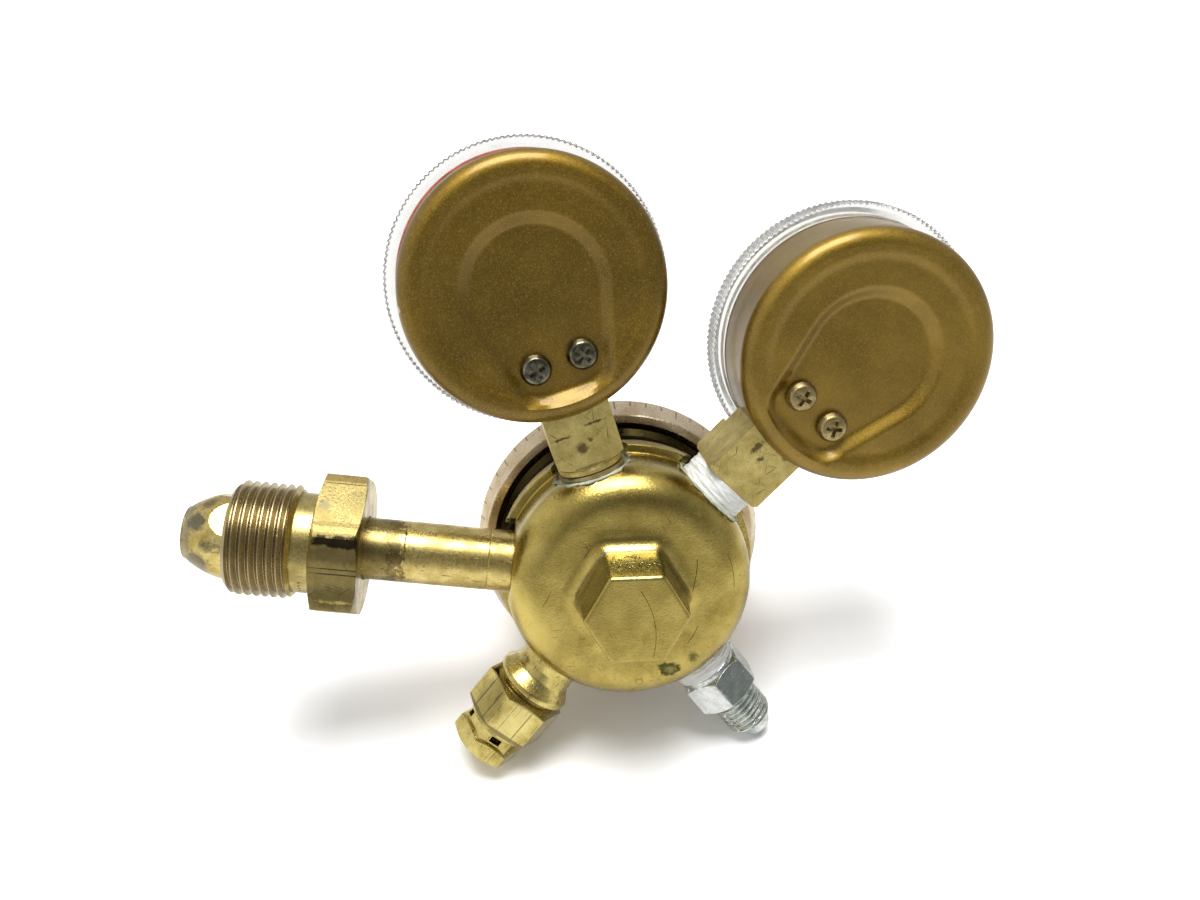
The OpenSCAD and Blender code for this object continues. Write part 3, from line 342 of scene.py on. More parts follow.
    def _boolean(self, tool: "Workpiece", operation: str) -> "Workpiece":
        """Works the shape with a tool, which is used up.

        Args:
            tool: the other shape.
            operation: the modifier's name for the work.

        Returns:
            The worked piece.
        """
        modifier = self.obj.modifiers.new("work", "BOOLEAN")
        modifier.operation = operation
        modifier.solver = "EXACT"
        modifier.object = tool.obj
        graph = bpy.context.evaluated_depsgraph_get()
        graph.update()
        worked = bpy.data.meshes.new_from_object(self.obj.evaluated_get(graph))
        self.obj.modifiers.clear()
        old = self.obj.data
        self.obj.data = worked
        bpy.data.meshes.remove(old)
        tool.scrap()
        return self

    def cut(self, tool: "Workpiece") -> "Workpiece":
        """Cuts the tool's shape away."""
        return self._boolean(tool, "DIFFERENCE")

    def meet(self, tool: "Workpiece") -> "Workpiece":
        """Keeps what lies inside the tool's shape."""
        return self._boolean(tool, "INTERSECT")

    def fuse(self, tool: "Workpiece") -> "Workpiece":
        """Brazes the other shape on."""
        return self._boolean(tool, "UNION")

    def join(self, other: "Workpiece") -> "Workpiece":
        """Adds the other shape as a shell of its own.

        Args:
            other: the other shape, which is used up.

        Returns:
            The piece with both shells.
        """
        bm = self.edit()
        bm.from_mesh(other.obj.data)
        other.scrap()
        return self.take(bm)

    def scrap(self) -> None:
        """Throws the shape away."""
        mesh = self.obj.data
        bpy.data.objects.remove(self.obj)
        bpy.data.meshes.remove(mesh)

    def soften(self, width: float, angle: float = 30.0, segments: int = 2) -> "Workpiece":
        """Breaks the sharp edges.

        Args:
            width: how much of each edge goes, in millimetres.
            angle: the angle in degrees past which an edge is sharp.
            segments: facets across each broken edge.

        Returns:
            The softened piece.
        """
        bm = self.edit()
        bmesh.ops.remove_doubles(bm, verts=bm.verts, dist=1e-4)
        bmesh.ops.dissolve_degenerate(bm, edges=bm.edges, dist=1e-4)
        limit = math.radians(angle)
        edges = [e for e in bm.edges if e.is_manifold and e.calc_face_angle(0) > limit]
        bmesh.ops.bevel(
            bm, geom=edges, offset=width, offset_type="OFFSET", segments=segments, profile=0.5,
            affect="EDGES", clamp_overlap=True, material=-1,
        )
        return self.take(bm)

    def place(
        self, matrix: Matrix, material: bpy.types.Material, slot: str,
        replaces: Sequence[str] = (), body: str = ROOT, sharp: float = 32.0,
    ) -> bpy.types.Object:
        """Puts the finished shape in the frame.

        Args:
            matrix: its place in the frame, in millimetres.
            material: its finish.
            slot: the record's material slot; not used.
            replaces: the nodes that it stands for.
            body: the body that it moves with.
            sharp: the angle in degrees past which an edge stays crisp.

        Returns:
            The placed object.
        """
        mesh = self.obj.data
        mesh.transform(Matrix.Scale(MM, 4) @ matrix)
        mesh.materials.clear()
        mesh.materials.append(material)
        mesh.polygons.foreach_set("use_smooth", [True] * len(mesh.polygons))
        mesh.set_sharp_from_angle(angle=math.radians(sharp))
        weighted = self.obj.modifiers.new("face normals", "WEIGHTED_NORMAL")
        weighted.keep_sharp = True
        weighted.weight = 80
        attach(self.obj, body)
        if replaces:
            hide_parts(*replaces)
        LOG.info("%s: %d faces on %s", self.name, len(mesh.polygons), body)
        return self.obj


def chamfered_bar(
    name: str, flats: float, low: float, high: float, turn: float, rise: float, inset: float,
) -> Workpiece:
    """A hexagonal bar whose ends are chamfered on the lathe.

    Args:
        name: the piece's name.
        flats: distance across its flats.
        low, high: its ends.
        turn: the turn of its corners in degrees.
        rise: how far the chamfer reaches along the corners.
        inset: how far inside the flats the chamfer starts.

    Returns:
        The bar with its edges broken.
    """
    corner = flats / 2 / math.cos(math.radians(30)) + 0.3
    face = flats / 2 - inset
    profile = [(0, low), (face, low), (corner, low + rise), (corner, high - rise), (face, high), (0, high)]
    envelope = Workpiece.lathe("envelope", profile, 192)
    return Workpiece.prism(name, flats, low - 1, high + 1, turn).meet(envelope)


# ---------------------------------------------------------------- finishes

def linear(code: str) -> tuple[float, float, float, float]:
    """Turns an sRGB hex code into linear red, green, blue and alpha.

    Args:
        code: six hexadecimal digits after a hash.

    Returns:
        The linear colour.
    """
    values = [int(code[i : i + 2], 16) / 255 for i in (1, 3, 5)]
    r, g, b = (v / 12.92 if v <= 0.04045 else ((v + 0.055) / 1.055) ** 2.4 for v in values)
    return (r, g, b, 1.0)


def add_node(
    tree: bpy.types.NodeTree, kind: str, inputs: Sequence[object] | dict[str, object] = (),
    out: str | None = None, **settings: object,
) -> bpy.types.NodeSocket:
    """Adds a node with its settings and links.

    Args:
        tree: the tree it goes into.
        kind: its type, without the word ShaderNode.
        inputs: links or values, in the order of the sockets in use or by their names.
        out: the output that is wanted, where that isn't the first one in use.
        settings: its own settings.

    Returns:
        The output.
    """
    node = tree.nodes.new("ShaderNode" + kind)
    for key, value in settings.items():
        setattr(node, key, value)
    if isinstance(inputs, dict):
        pairs = [(node.inputs[key], value) for key, value in inputs.items()]
    else:
        pairs = list(zip([s for s in node.inputs if s.enabled], inputs))
    for socket, value in pairs:
        if isinstance(value, bpy.types.NodeSocket):
            tree.links.new(value, socket)
        else:
            socket.default_value = value
    return node.outputs[out] if out else next(s for s in node.outputs if s.enabled)


class Bench:
    """The node tree of one material, in which lengths are millimetres on the piece's own axes."""

    def __init__(self, name: str, place: Matrix) -> None:
        """Starts a material whose patterns follow the piece at that place.

        Args:
            name: the material's name.
            place: the piece's place in the frame, in millimetres.
        """
        self.material = bpy.data.materials.new(name)
        self.material.use_nodes = True
        self.tree = self.material.node_tree
        self.shader = self.tree.nodes["Principled BSDF"]
        turn = place.to_3x3().inverted()
        self.point = self.add(
            "Mapping", {
                "Vector": self.add("TexCoord", out="Object"), "Scale": (1 / MM,) * 3,
                "Rotation": turn.to_euler(), "Location": -(turn @ place.to_translation()),
            },
        )

    def add(
        self, kind: str, inputs: Sequence[object] | dict[str, object] = (), out: str | None = None, **settings: object,
    ) -> bpy.types.NodeSocket:
        """Adds a node to the material, as add_node does."""
        return add_node(self.tree, kind, inputs, out, **settings)

    def noise(
        self, size: float, detail: float = 4.0, stretch: Sequence[float] = (1, 1, 1), rough: float = 0.55,
    ) -> bpy.types.NodeSocket:
        """Makes cloudy values that follow the piece's axes.

        Args:
            size: size of one cloud in millimetres.
            detail: how many finer layers it has.
            stretch: how much longer it is along each axis.
            rough: how strong the finer layers are.

        Returns:
            A value about one half.
        """
        vector = self.add("Mapping", {"Vector": self.point, "Scale": [1 / s for s in stretch]})
        return self.add("TexNoise", {"Vector": vector, "Scale": 1 / size, "Detail": detail, "Roughness": rough})

    def near(
        self, spot: Sequence[float], radius: float, blur: float, ragged: float = 1.0, grain: float = 1.2,
        stretch: Sequence[float] = (1, 1, 1),
    ) -> bpy.types.NodeSocket:
        """A ragged patch.

        Args:
            spot: its middle on the piece's axes.
            radius: its radius.
            blur: the width of its edge.
            ragged: how far its edge wanders.
            grain: the size of the wandering.
            stretch: how much longer it is along each axis.

        Returns:
            One inside the patch and nought outside.
        """
        away = self.add("VectorMath", (self.point, spot), operation="SUBTRACT")
        away = self.add("VectorMath", (away, stretch), operation="DIVIDE")
        offset = self.add("VectorMath", (away,), operation="LENGTH")
        wander = self.add("Math", (self.noise(grain, 5), 2 * ragged, -ragged), operation="MULTIPLY_ADD")
        edge = self.add("Math", (offset, wander), operation="ADD")
        return self.add("MapRange", (edge, radius - blur / 2, radius + blur / 2, 1.0, 0.0))

    def scratches(
        self, width: float, length: float, leans: Sequence[Sequence[float]], share: float,
    ) -> bpy.types.NodeSocket:
        """Thin straight scratches.

        Args:
            width, length: of one scratch.
            leans: turns in degrees that bring the Z axis onto each direction they run in.
            share: how much of the surface they take.

        Returns:
            One in a scratch and nought elsewhere.
        """
        found = None
        for index, lean in enumerate(leans):
            keys = {
                "Vector": self.point, "Location": (3.1 * index, 7.7 * index, 0.0),
                "Rotation": [math.radians(a) for a in lean],
                "Scale": (width, width, length),
            }
            vector = self.add("Mapping", keys, vector_type="TEXTURE")
            value = self.add("TexNoise", {"Vector": vector, "Scale": 1.0, "Detail": 1.0})
            line = self.add("MapRange", (value, 0.76 - share, 0.8 - share))
            found = line if found is None else self.add("Math", (found, line), operation="MAXIMUM")
        return found

    def stain_and_shade(self, colour: object, patches: Sequence["Patch"]) -> bpy.types.NodeSocket:
        """Lays each patch over a colour.

        Args:
            colour: the colour below.
            patches: the stains, painted highlights and painted shade, from the lowest up.

        Returns:
            The colour with its stains and painted light.
        """
        for patch in patches:
            spread = self.near(patch.spot, patch.radius, patch.blur, patch.ragged, patch.grain, patch.stretch)
            share = self.add("Math", (spread, patch.strength), operation="MULTIPLY")
            colour = self.add("Mix", (share, colour, linear(patch.colour)), data_type="RGBA")
        return colour

    def tool_lines(self, spacing: float, depth: float, base: bpy.types.NodeSocket) -> bpy.types.NodeSocket:
        """Cuts fine lines round the axis into the surface.

        Args:
            spacing: from line to line, or nought for none.
            depth: of a line.
            base: the bumps so far.

        Returns:
            The bumps with the lines.
        """
        if not spacing:
            return base
        height = self.noise(spacing, 2, (400, 400, 1))
        return self.add("Bump", {"Height": height, "Distance": depth * MM, "Normal": base})

    def etch(self, inputs: dict, mask: bpy.types.NodeSocket, share: float, code: str, depth: float) -> None:
        """Sinks a mark into a finish.

        Args:
            inputs: the shader's inputs, which take the mark.
            mask: one in the mark and nought elsewhere.
            share: how much of the mark's colour shows.
            code: its colour.
            depth: how deep it is.
        """
        part = self.add("Math", (mask, share), operation="MULTIPLY")
        inputs["Base_Color"] = self.add("Mix", (part, inputs["Base_Color"], linear(code)), data_type="RGBA")
        inputs["Normal"] = self.add("Bump", {"Height": mask, "Distance": -depth * MM, "Normal": inputs["Normal"]})

    def feed(self, **inputs: object) -> bpy.types.Material:
        """Feeds the shader's sockets, whose spaces are written as underscores.

        Args:
            inputs: a link or a value for each socket.

        Returns:
            The finished material.
        """
        for key, value in inputs.items():
            socket = self.shader.inputs[key.replace("_", " ")]
            if isinstance(value, bpy.types.NodeSocket):
                self.tree.links.new(value, socket)
            else:
                socket.default_value = value
        return self.material


@dataclass(frozen=True)
class Patch:
    """A patch of colour on a surface, in millimetres on the piece's axes: most are stains, and some are painted
    highlights and painted shade.
    """

    spot: tuple[float, float, float]
    radius: float
    colour: str
    strength: float = 0.8
    blur: float = 1.0
    ragged: float = 1.0
    grain: float = 1.2
    stretch: tuple[float, float, float] = (1, 1, 1)


@dataclass(frozen=True)
class Band:
    """A length of the piece's axis laid over with another colour, in millimetres: tarnish and stains, and in gaps and
    grooves painted shade.
    """

    low: float
    high: float
    colour: str
    strength: float = 0.6
    blur: float = 0.6


UPRIGHT = ((0, 14, 0), (0, 62, 0), (0, -38, 0))
FLAT = ((90, 0, 25), (90, 0, 80), (90, 0, 140))
ROUND = ((0, 5, 0), (5, -4, 0), (88, 0, 0))


@dataclass(frozen=True)
class Brass:
    """Yellow brass, CW614N or forged CW617N, bare and some years old.

    Machined faces show fine tool lines, forged ones a satin grain, and handling leaves brown
    tarnish, dark specks and thin scratches.
    """

    name: str
    light: str = "#cdb76a"
    dark: str = "#ab934d"
    tarnish: str = "#5b4a2c"
    tarnished: float = 0.3
    cloud: float = 9.0
    rough: tuple[float, float] = (0.24, 0.4)
    grain: float = 0.35
    grain_depth: float = 0.012
    lines: float = 0.0
    scratches: float = 0.5
    leans: tuple[tuple[float, float, float], ...] = UPRIGHT
    share: float = 0.06
    patches: tuple[Patch, ...] = ()
    bands: tuple[Band, ...] = ()
    pits: tuple[Patch, ...] = ()

    def dress(self, place: Matrix) -> tuple[Bench, dict[str, bpy.types.NodeSocket]]:
        """Lays out the finish for a piece.

        Args:
            place: the piece's place.

        Returns:
            Its bench, and the shader's inputs.
        """
        b = Bench(self.name, place)
        clouds = b.noise(self.cloud, 6)
        fine = b.noise(self.grain, 3)
        blotch = b.noise(self.cloud * 0.4, 8, rough=0.68)
        dull = b.add("MapRange", (clouds, 0.36, 0.64))
        colour = b.add("Mix", (dull, linear(self.light), linear(self.dark)), data_type="RGBA")
        start = 0.72 - 0.22 * self.tarnished
        tarnish = b.add("MapRange", (blotch, start, start + 0.14, 0.0, 0.85))
        film = b.add("MapRange", (fine, 0.32, 0.52, 0.24, 0.0))
        specks = b.add("MapRange", (b.noise(0.55, 2), 0.72, 0.78, 0.0, 0.3 + 0.5 * self.tarnished))
        fading = b.add("MapRange", (b.noise(5.0, 3), 0.42, 0.6, 0.0, self.scratches))
        worn = b.add("Math", (b.scratches(0.3, 7.0, self.leans, self.share), fading), operation="MULTIPLY")
        marks = b.add("Math", (worn, specks), operation="MAXIMUM")
        for share in (tarnish, film, marks):
            colour = b.add("Mix", (share, colour, linear(self.tarnish)), data_type="RGBA")
        colour = b.stain_and_shade(colour, self.patches)
        height = b.add("SeparateXYZ", (b.point,), "Z")
        for band in self.bands:
            wander = b.add("MapRange", (blotch, 0.3, 0.7, -band.blur, band.blur))
            edge = b.add("Math", (height, wander), operation="ADD")
            begins = b.add("MapRange", (edge, band.low - 0.1, band.low + 0.1))
            ends = b.add("MapRange", (edge, band.high - 0.1, band.high + 0.1, band.strength, 0.0))
            inside = b.add("Math", (begins, ends), operation="MULTIPLY")
            colour = b.add("Mix", (inside, colour, linear(band.colour)), data_type="RGBA")
        normal = b.tool_lines(self.lines, 0.02, b.add("Bump", {"Height": fine, "Distance": self.grain_depth * MM}))
        normal = b.add("Bump", {"Height": marks, "Distance": -0.03 * MM, "Normal": normal})
        for pit in self.pits:
            cell = b.add("TexVoronoi", {"Vector": b.point, "Scale": 1 / 1.3, "Randomness": 1.0})
            where = b.near(pit.spot, pit.radius, pit.blur, pit.ragged, pit.grain, pit.stretch)
            bowl = b.add("Math", (b.add("MapRange", (cell, 0.3, 0.4, 1.0, 0.0)), where), operation="MULTIPLY")
            rim = b.add("Math", (bowl, b.add("MapRange", (cell, 0.12, 0.3, 0.25, 1.0))), operation="MULTIPLY")
            share = b.add("Math", (rim, pit.strength), operation="MULTIPLY")
            colour = b.add("Mix", (share, colour, linear(pit.colour)), data_type="RGBA")
            normal = b.add("Bump", {"Height": bowl, "Distance": -0.12 * MM, "Normal": normal})
        coarse = b.add("Math", (clouds, 0.6), operation="MULTIPLY")
        mottle = b.add("Math", (fine, 0.4, coarse), operation="MULTIPLY_ADD")
        rough = b.add("MapRange", (mottle, 0.35, 0.65, *self.rough))
        return b, {"Base_Color": colour, "Roughness": rough, "Normal": normal}

    def make(self, place: Matrix) -> bpy.types.Material:
        """Returns the finish for a piece at that place."""
        b, inputs = self.dress(place)
        return b.feed(Metallic=1.0, **inputs)


@dataclass(frozen=True)
class GoldPaint:
    """Gold metallic stoving paint on pressed steel: a glossy skin over fine bright flakes."""

    name: str
    light: str = "#836719"
    dark: str = "#6c540d"
    chips: tuple[Patch, ...] = ()

    def make(self, place: Matrix) -> bpy.types.Material:
        """Paints a gauge case.

        Args:
            place: the case's place.

        Returns:
            Its material.
        """
        b = Bench(self.name, place)
        # The flakes are about 0.05 mm across, and are drawn at 0.16 mm so that they show.
        flakes = b.add("TexVoronoi", {"Vector": b.point, "Scale": 1 / 0.16}, "Color")
        flake = b.add("SeparateColor", (flakes,))
        cloud = b.add("MapRange", (b.noise(16, 3), 0.35, 0.65))
        bright = b.add("MapRange", (flake, 0.75, 1.0, 0.0, 0.24))
        deep = b.add("MapRange", (flake, 0.0, 0.3, 0.3, 0.0))
        colour = b.add("Mix", (cloud, linear(self.light), linear(self.dark)), data_type="RGBA")
        colour = b.add("Mix", (bright, colour, linear("#cdbb7c")), data_type="RGBA")
        colour = b.add("Mix", (deep, colour, linear("#4d3a10")), data_type="RGBA")
        colour = b.stain_and_shade(colour, self.chips)
        normal = b.add("Bump", {"Height": flake, "Distance": 0.012 * MM})
        normal = b.add("Bump", {"Height": b.noise(0.5, 3), "Distance": 0.02 * MM, "Normal": normal})
        skin = b.add("Bump", {"Height": b.noise(1.1, 3), "Distance": 0.006 * MM})
        return b.feed(
            Base_Color=colour, Metallic=0.95, Roughness=b.add("MapRange", (flake, 0, 1, 0.38, 0.54)), Normal=normal,
            Coat_Weight=0.5, Coat_Roughness=0.16, Coat_Normal=skin,
        )


@dataclass(frozen=True)
class Steel:
    """Steel, bright, zinc plated or blackened: a cool grey with soft blotches."""

    name: str
    light: str = "#c9ccce"
    dark: str = "#8d9396"
    rough: tuple[float, float] = (0.2, 0.38)
    scuff: float = 0.3
    lines: float = 0.0
    patches: tuple[Patch, ...] = ()

    def make(self, place: Matrix) -> bpy.types.Material:
        """Finishes a piece.

        Args:
            place: the piece's place.

        Returns:
            Its material.
        """
        b = Bench(self.name, place)
        clouds = b.noise(2.4, 6, rough=0.65)
        scuffs = b.add("MapRange", (b.noise(0.7, 6, rough=0.75), 0.56, 0.66, 0.0, self.scuff))
        dull = b.add("MapRange", (clouds, 0.35, 0.65))
        colour = b.add("Mix", (dull, linear(self.light), linear(self.dark)), data_type="RGBA")
        colour = b.add("Mix", (scuffs, colour, linear("#4b4c49")), data_type="RGBA")
        colour = b.stain_and_shade(colour, self.patches)
        normal = b.tool_lines(self.lines, 0.015, b.add("Bump", {"Height": scuffs, "Distance": 0.03 * MM}))
        rough = b.add("MapRange", (clouds, 0.35, 0.65, *self.rough))
        return b.feed(Base_Color=colour, Metallic=1.0, Roughness=rough, Normal=normal)


@dataclass(frozen=True)
class Plain:
    """A moulded, printed or dipped surface: rubber, plastic, paint or tape."""

    name: str
    light: str
    dark: str
    rough: float = 0.5
    grain: float = 0.3
    depth: float = 0.01
    soft: float = 0.0

    def make(self, place: Matrix) -> bpy.types.Material:
        """Finishes a piece.

        Args:
            place: the piece's place.

        Returns:
            Its material.
        """
        b = Bench(self.name, place)
        cloud = b.add("MapRange", (b.noise(self.grain * 8, 4), 0.35, 0.65))
        colour = b.add("Mix", (cloud, linear(self.light), linear(self.dark)), data_type="RGBA")
        normal = b.add("Bump", {"Height": b.noise(self.grain, 3), "Distance": self.depth * MM})
        if self.soft:
            b.feed(Subsurface_Weight=self.soft, Subsurface_Radius=(0.001, 0.001, 0.001))
        return b.feed(
            Base_Color=colour, Normal=normal,
            Roughness=b.add("MapRange", (b.noise(self.grain * 3, 3), 0.3, 0.7, self.rough - 0.06, self.rough + 0.08)),
        )


@dataclass(frozen=True)
class ClearPlastic:
    """Moulded polycarbonate: water clear, glossy, a little hazy from handling."""

    name: str

    def make(self, place: Matrix) -> bpy.types.Material:
        """Finishes a lens.

        Args:
            place: the lens's place.

        Returns:
            Its material.
        """
        b = Bench(self.name, place)
        haze = b.add("MapRange", (b.noise(3.0, 6, rough=0.7), 0.4, 0.7, 0.08, 0.3))
        normal = b.add("Bump", {"Height": b.noise(2.2, 2), "Distance": 0.01 * MM})
        return b.feed(Base_Color=linear("#fcfcfa"), Transmission_Weight=0.9, IOR=1.4, Roughness=haze, Normal=normal)


# ---------------------------------------------------------------- the forged body

def drawn_rings(
    rings: Sequence[object], point: Callable[[object, float], tuple[float, float, float]], count: int,
) -> bmesh.types.BMesh:
    """Draws a skin out ring after ring, from a capped first one.

    Args:
        rings: what describes each ring.
        point: gives the place of a ring's point at an angle in radians.
        count: points round each ring, at least three.

    Returns:
        The skin, open at its last ring.
    """
    bm = bmesh.new()
    bmesh.ops.create_circle(bm, cap_ends=True, segments=count, radius=1)
    step = math.tau / count
    edges = list(bm.edges)
    loop = list(bm.verts)
    for index, ring in enumerate(rings):
        if index:
            drawn = bmesh.ops.extrude_edge_only(bm, edges=edges)["geom"]
            loop = [g for g in drawn if isinstance(g, bmesh.types.BMVert)]
            edges = [g for g in drawn if isinstance(g, bmesh.types.BMEdge) and g.is_boundary]
        for vert in loop:
            vert.co = point(ring, round(math.atan2(vert.co.y, vert.co.x) / step) * step)
    return bm


def hexagon_reach(theta: float, apothem: float, corner: float) -> float:
    """Distance from the middle of a hexagon with round corners to its edge.

    Args:
        theta: direction in radians, nought at the middle of a flat.
        apothem: half the distance across the flats.
        corner: radius of the round corners.

    Returns:
        The distance.
    """
    slope = math.tan(math.radians(30))
    phi = abs((theta + math.radians(30)) % math.radians(60) - math.radians(30))
    if apothem * math.tan(phi) <= (apothem - corner) * slope:
        return apothem / math.cos(phi)
    cx, cy = apothem - corner, (apothem - corner) * slope
    along = math.cos(phi) * cx + math.sin(phi) * cy
    return along + math.sqrt(max(corner ** 2 - cx ** 2 - cy ** 2 + along ** 2, 0))


@dataclass(frozen=True)
class Ring:
    """One ring of the forging: a hexagon that blends into a circle as round goes from 0 to 1."""

    reach: float
    height: float
    corner: float = 1.2
    round: float = 0.0


@dataclass
class ForgedBody:
    """The forged brass body with its wrench boss, ports and low-pressure chamber."""

    radius: float = 26.7
    flange: float = 28.7
    rear: float = 12.0
    front: float = 24.5
    edge: float = 7.8
    boss_flats: float = 19.05
    boss_height: float = 12.0
    boss_turn: float = -8.0
    spot_face: float = 25.6
    spot_radius: float = 9.4
    port_radius: float = 6.62
    port_bottom: float = 15.0
    chamber_radius: float = 21.5
    chamber_floor: float = 14.5
    nozzle_radius: float = 7.02
    nozzle_floor: float = 4.5
    well_radius: float = 5.2
    well_floor: float = -10.02
    nicks: tuple[tuple[tuple[float, float, float], float, tuple[float, float, float], float], ...] = (
        ((-14.5, 5.9, -24.0), 18.9, (2.7, 0.3, -24.0), 7.6), ((2.0, -1.0, -12.0), 19.8, (21.0, -7.6, -11.0), 4.2),
        ((4.0, 4.0, -12.0), 11.3, (14.6, 7.8, -12.0), 2.3), ((-6.0, -6.0, -12.0), 18.9, (12.3, -6.0, -12.0), 3.6),
        ((-30.0, -2.0, -12.0), 13.2, (-17.6, 2.6, -12.0), 2.0),
    )

    def rings(self) -> list[Ring]:
        """Lists the rings of the forging.

        Returns:
            The rings from the middle of the boss out to the diaphragm seat.
        """
        half = self.boss_flats / 2
        top = -self.rear - self.boss_height
        out = [Ring(half * s, top, 1.0 * s) for s in (0.25, 0.5, 0.75, 0.9)]
        out += [
            Ring(half - 0.55, top, 0.9), Ring(half - 0.42, top + 0.04, 0.95), Ring(half - 0.1, top + 0.42, 1.1),
            Ring(half, top + 0.62, 1.2),
        ]
        draft, fillet = 0.8, 3.6
        fall = self.boss_height - 0.62 - fillet
        out += [Ring(half + draft * i / 4, top + 0.62 + i * fall / 4, 1.2 + 0.3 * i) for i in range(1, 5)]
        base = half + draft
        for r, z in arc(base + fillet, -self.rear - fillet, fillet, 180, 90, 9)[1:]:
            share = (r - base) / fillet
            out.append(Ring(r, z, 2.4 + 2.4 * share, 0.22 * share))
        flat = self.radius - self.edge
        start = base + fillet
        for i in range(1, 7):
            t = i / 7
            out.append(Ring(start + (flat - start) * t, -self.rear, 4.8 + 3 * t, min(1.0, 0.22 + t)))
        out += [Ring(r, z, 9, 1.0) for r, z in arc(flat, -self.rear + self.edge, self.edge, -90, 0, 14)]
        wall = eased([
            (self.radius, 0), (self.radius, 3.2, 0.5), (self.flange - 0.1, 3.2, 0.35), (self.flange, 3.7, 0.3),
            (self.flange, 6.9, 0.4), (27.2, 7, 0.3), (27.2, 14.6, 0.3), (28.6, 15.8), (28.6, self.front - 0.4, 0.2),
            (28.2, self.front), (self.chamber_radius + 2, self.front), (8, self.front),
        ])
        return out + [Ring(r, z, 9, 1.0) for r, z in wall]

    def blank(self) -> Workpiece:
        """Forges the blank: rings drawn out one after another from the middle of the boss.

        Returns:
            The blank, with Z towards the knob.
        """
        flat = math.radians(self.boss_turn + 30)

        def point(ring: Ring, angle: float) -> tuple[float, float, float]:
            """Finds a point of the blank.

            Args:
                ring: the ring it lies on.
                angle: its angle round the axis.

            Returns:
                Its place.
            """
            six = hexagon_reach(angle - flat, ring.reach, ring.corner)
            reach = six * (1 - ring.round) + ring.reach * ring.round
            return (reach * math.cos(angle), reach * math.sin(angle), ring.height)

        bm = drawn_rings(self.rings(), point, 240)
        bmesh.ops.holes_fill(bm, edges=[e for e in bm.edges if e.is_boundary], sides=0)
        bmesh.ops.recalc_face_normals(bm, faces=bm.faces)
        return Workpiece("forged_body").take(bm)

    def across(self, port: Port) -> Matrix:
        """Returns the place of a port on the bench."""
        return Matrix.Rotation(math.radians(-port.value), 4, "Z") @ Matrix.Rotation(math.radians(90), 4, "Y")

    def build(self) -> None:
        """Forges, drills and places the body."""
        body = self.blank()
        body.cut(Workpiece.rod("chamber", self.chamber_radius, self.chamber_floor, self.front + 1, 128))
        body.cut(Workpiece.rod("nozzle_thread", self.nozzle_radius, self.nozzle_floor, self.front + 1))
        body.cut(Workpiece.rod("valve_well", self.well_radius, self.well_floor, 10))
        for port in Port:
            aside = self.across(port)
            body.cut(Workpiece.rod("spot", self.spot_radius, self.spot_face, 36, 96).moved(aside))
            body.cut(Workpiece.rod("thread_hole", self.port_radius, self.port_bottom, 30).moved(aside))
        place = STANCE.on_axis()
        finish = Brass(
            "forged_brass_satin", "#baa65c", "#9e8a47", "#5e5029", tarnished=0.42, cloud=6.0, rough=(0.17, 0.3),
            grain=0.42, grain_depth=0.036, scratches=0.8, leans=FLAT, patches=(
                Patch((10.6, 16.9, -12.0), 1.7, "#29361b", 0.9, 0.6, 1.1, 0.9, (1.5, 1, 1)),
                Patch((10.9, 16.9, -12.0), 0.8, "#8a8148", 0.7, 0.8, 0.8, 0.7, (1.6, 1, 1)),
                Patch((15.4, 13.6, -12.0), 0.5, "#2c3720", 0.85, 0.4, 0.6, 0.7, (2.0, 2.6, 2)),
                Patch((4.4, 20.7, -11.9), 0.9, "#5c4a26", 0.6, 0.2, 0.2, 0.8),
                Patch((4.4, 20.7, -11.9), 0.72, "#b3a057", 0.9, 0.2, 0.2, 0.8),
                Patch((-1.2, -9.8, -18.0), 6.0, "#a5a888", 0.5, 2.5, 1.5, 2.0, (1.2, 0.5, 1)),
                Patch((-4.9, -7.0, -24.0), 30.0, "#9c8a4c", 0.28, 3.0, 3.0, 3.0, (0.33, 0.33, 0.02)),
                # Painted light: these two patches make the body lighter towards the left and darker towards the right.
                Patch((-23.5, 10.0, -6.0), 9.0, "#d9c36e", 0.7, 5.0, 1.0, 4.0),
                Patch((22.0, 13.0, -6.0), 9.0, "#a08d52", 0.4, 5.0, 1.0, 4.0),
                Patch(self.port_point(Port.HIGH, 26.4), 8.9, "#c3c6ac", 0.6, 0.8, 1.4, 1.1),
                Patch(self.port_point(Port.LOW, 26.4), 9.0, "#c9cbb4", 0.6, 0.8, 1.4, 1.1),
            ),
            # The first band paints the neck behind the bonnet ring near black: painted shade in that gap.
            bands=(Band(7.15, 40, "#171009", 0.93, 0.05), Band(-22.8, -13.5, "#a9a888", 0.6, 0.5)),
            pits=(Patch((-1.2, -10.2, -18.0), 4.6, "#2e2410", 0.75, 1.6, 1.0, 1.2, (1.1, 0.7, 0.8)),),
        )
        body.place(place, self.nicked(finish, place), "forged_brass", ("regulator_body",), sharp=38)

    def nicked(self, finish: Brass, place: Matrix) -> bpy.types.Material:
        """Draws the thin curved scratches.

        Args:
            finish: the body's finish.
            place: the body's place.

        Returns:
            The finish with its scratches.
        """
        b, inputs = finish.dress(place)
        for middle, radius, spot, reach in self.nicks:
            away = b.add("VectorMath", (b.point, middle), operation="DISTANCE")
            off = b.add("Math", (away, radius), operation="SUBTRACT")
            line = b.add("MapRange", (b.add("Math", (off,), operation="ABSOLUTE"), 0.03, 0.1, 1.0, 0.0))
            mask = b.add("Math", (line, b.near(spot, reach, 0.6, 0.6, 2.0)), operation="MULTIPLY")
            b.etch(inputs, mask, 0.8, "#40331a", 0.06)
        return b.feed(Metallic=1.0, **inputs)

    def port_point(self, port: Port, reach: float) -> tuple[float, float, float]:
        """Returns a point on a port's axis on the bench."""
        return (reach * math.cos(math.radians(-port.value)), reach * math.sin(math.radians(-port.value)), 0.0)


# ---------------------------------------------------------------- bonnet, screw and knob

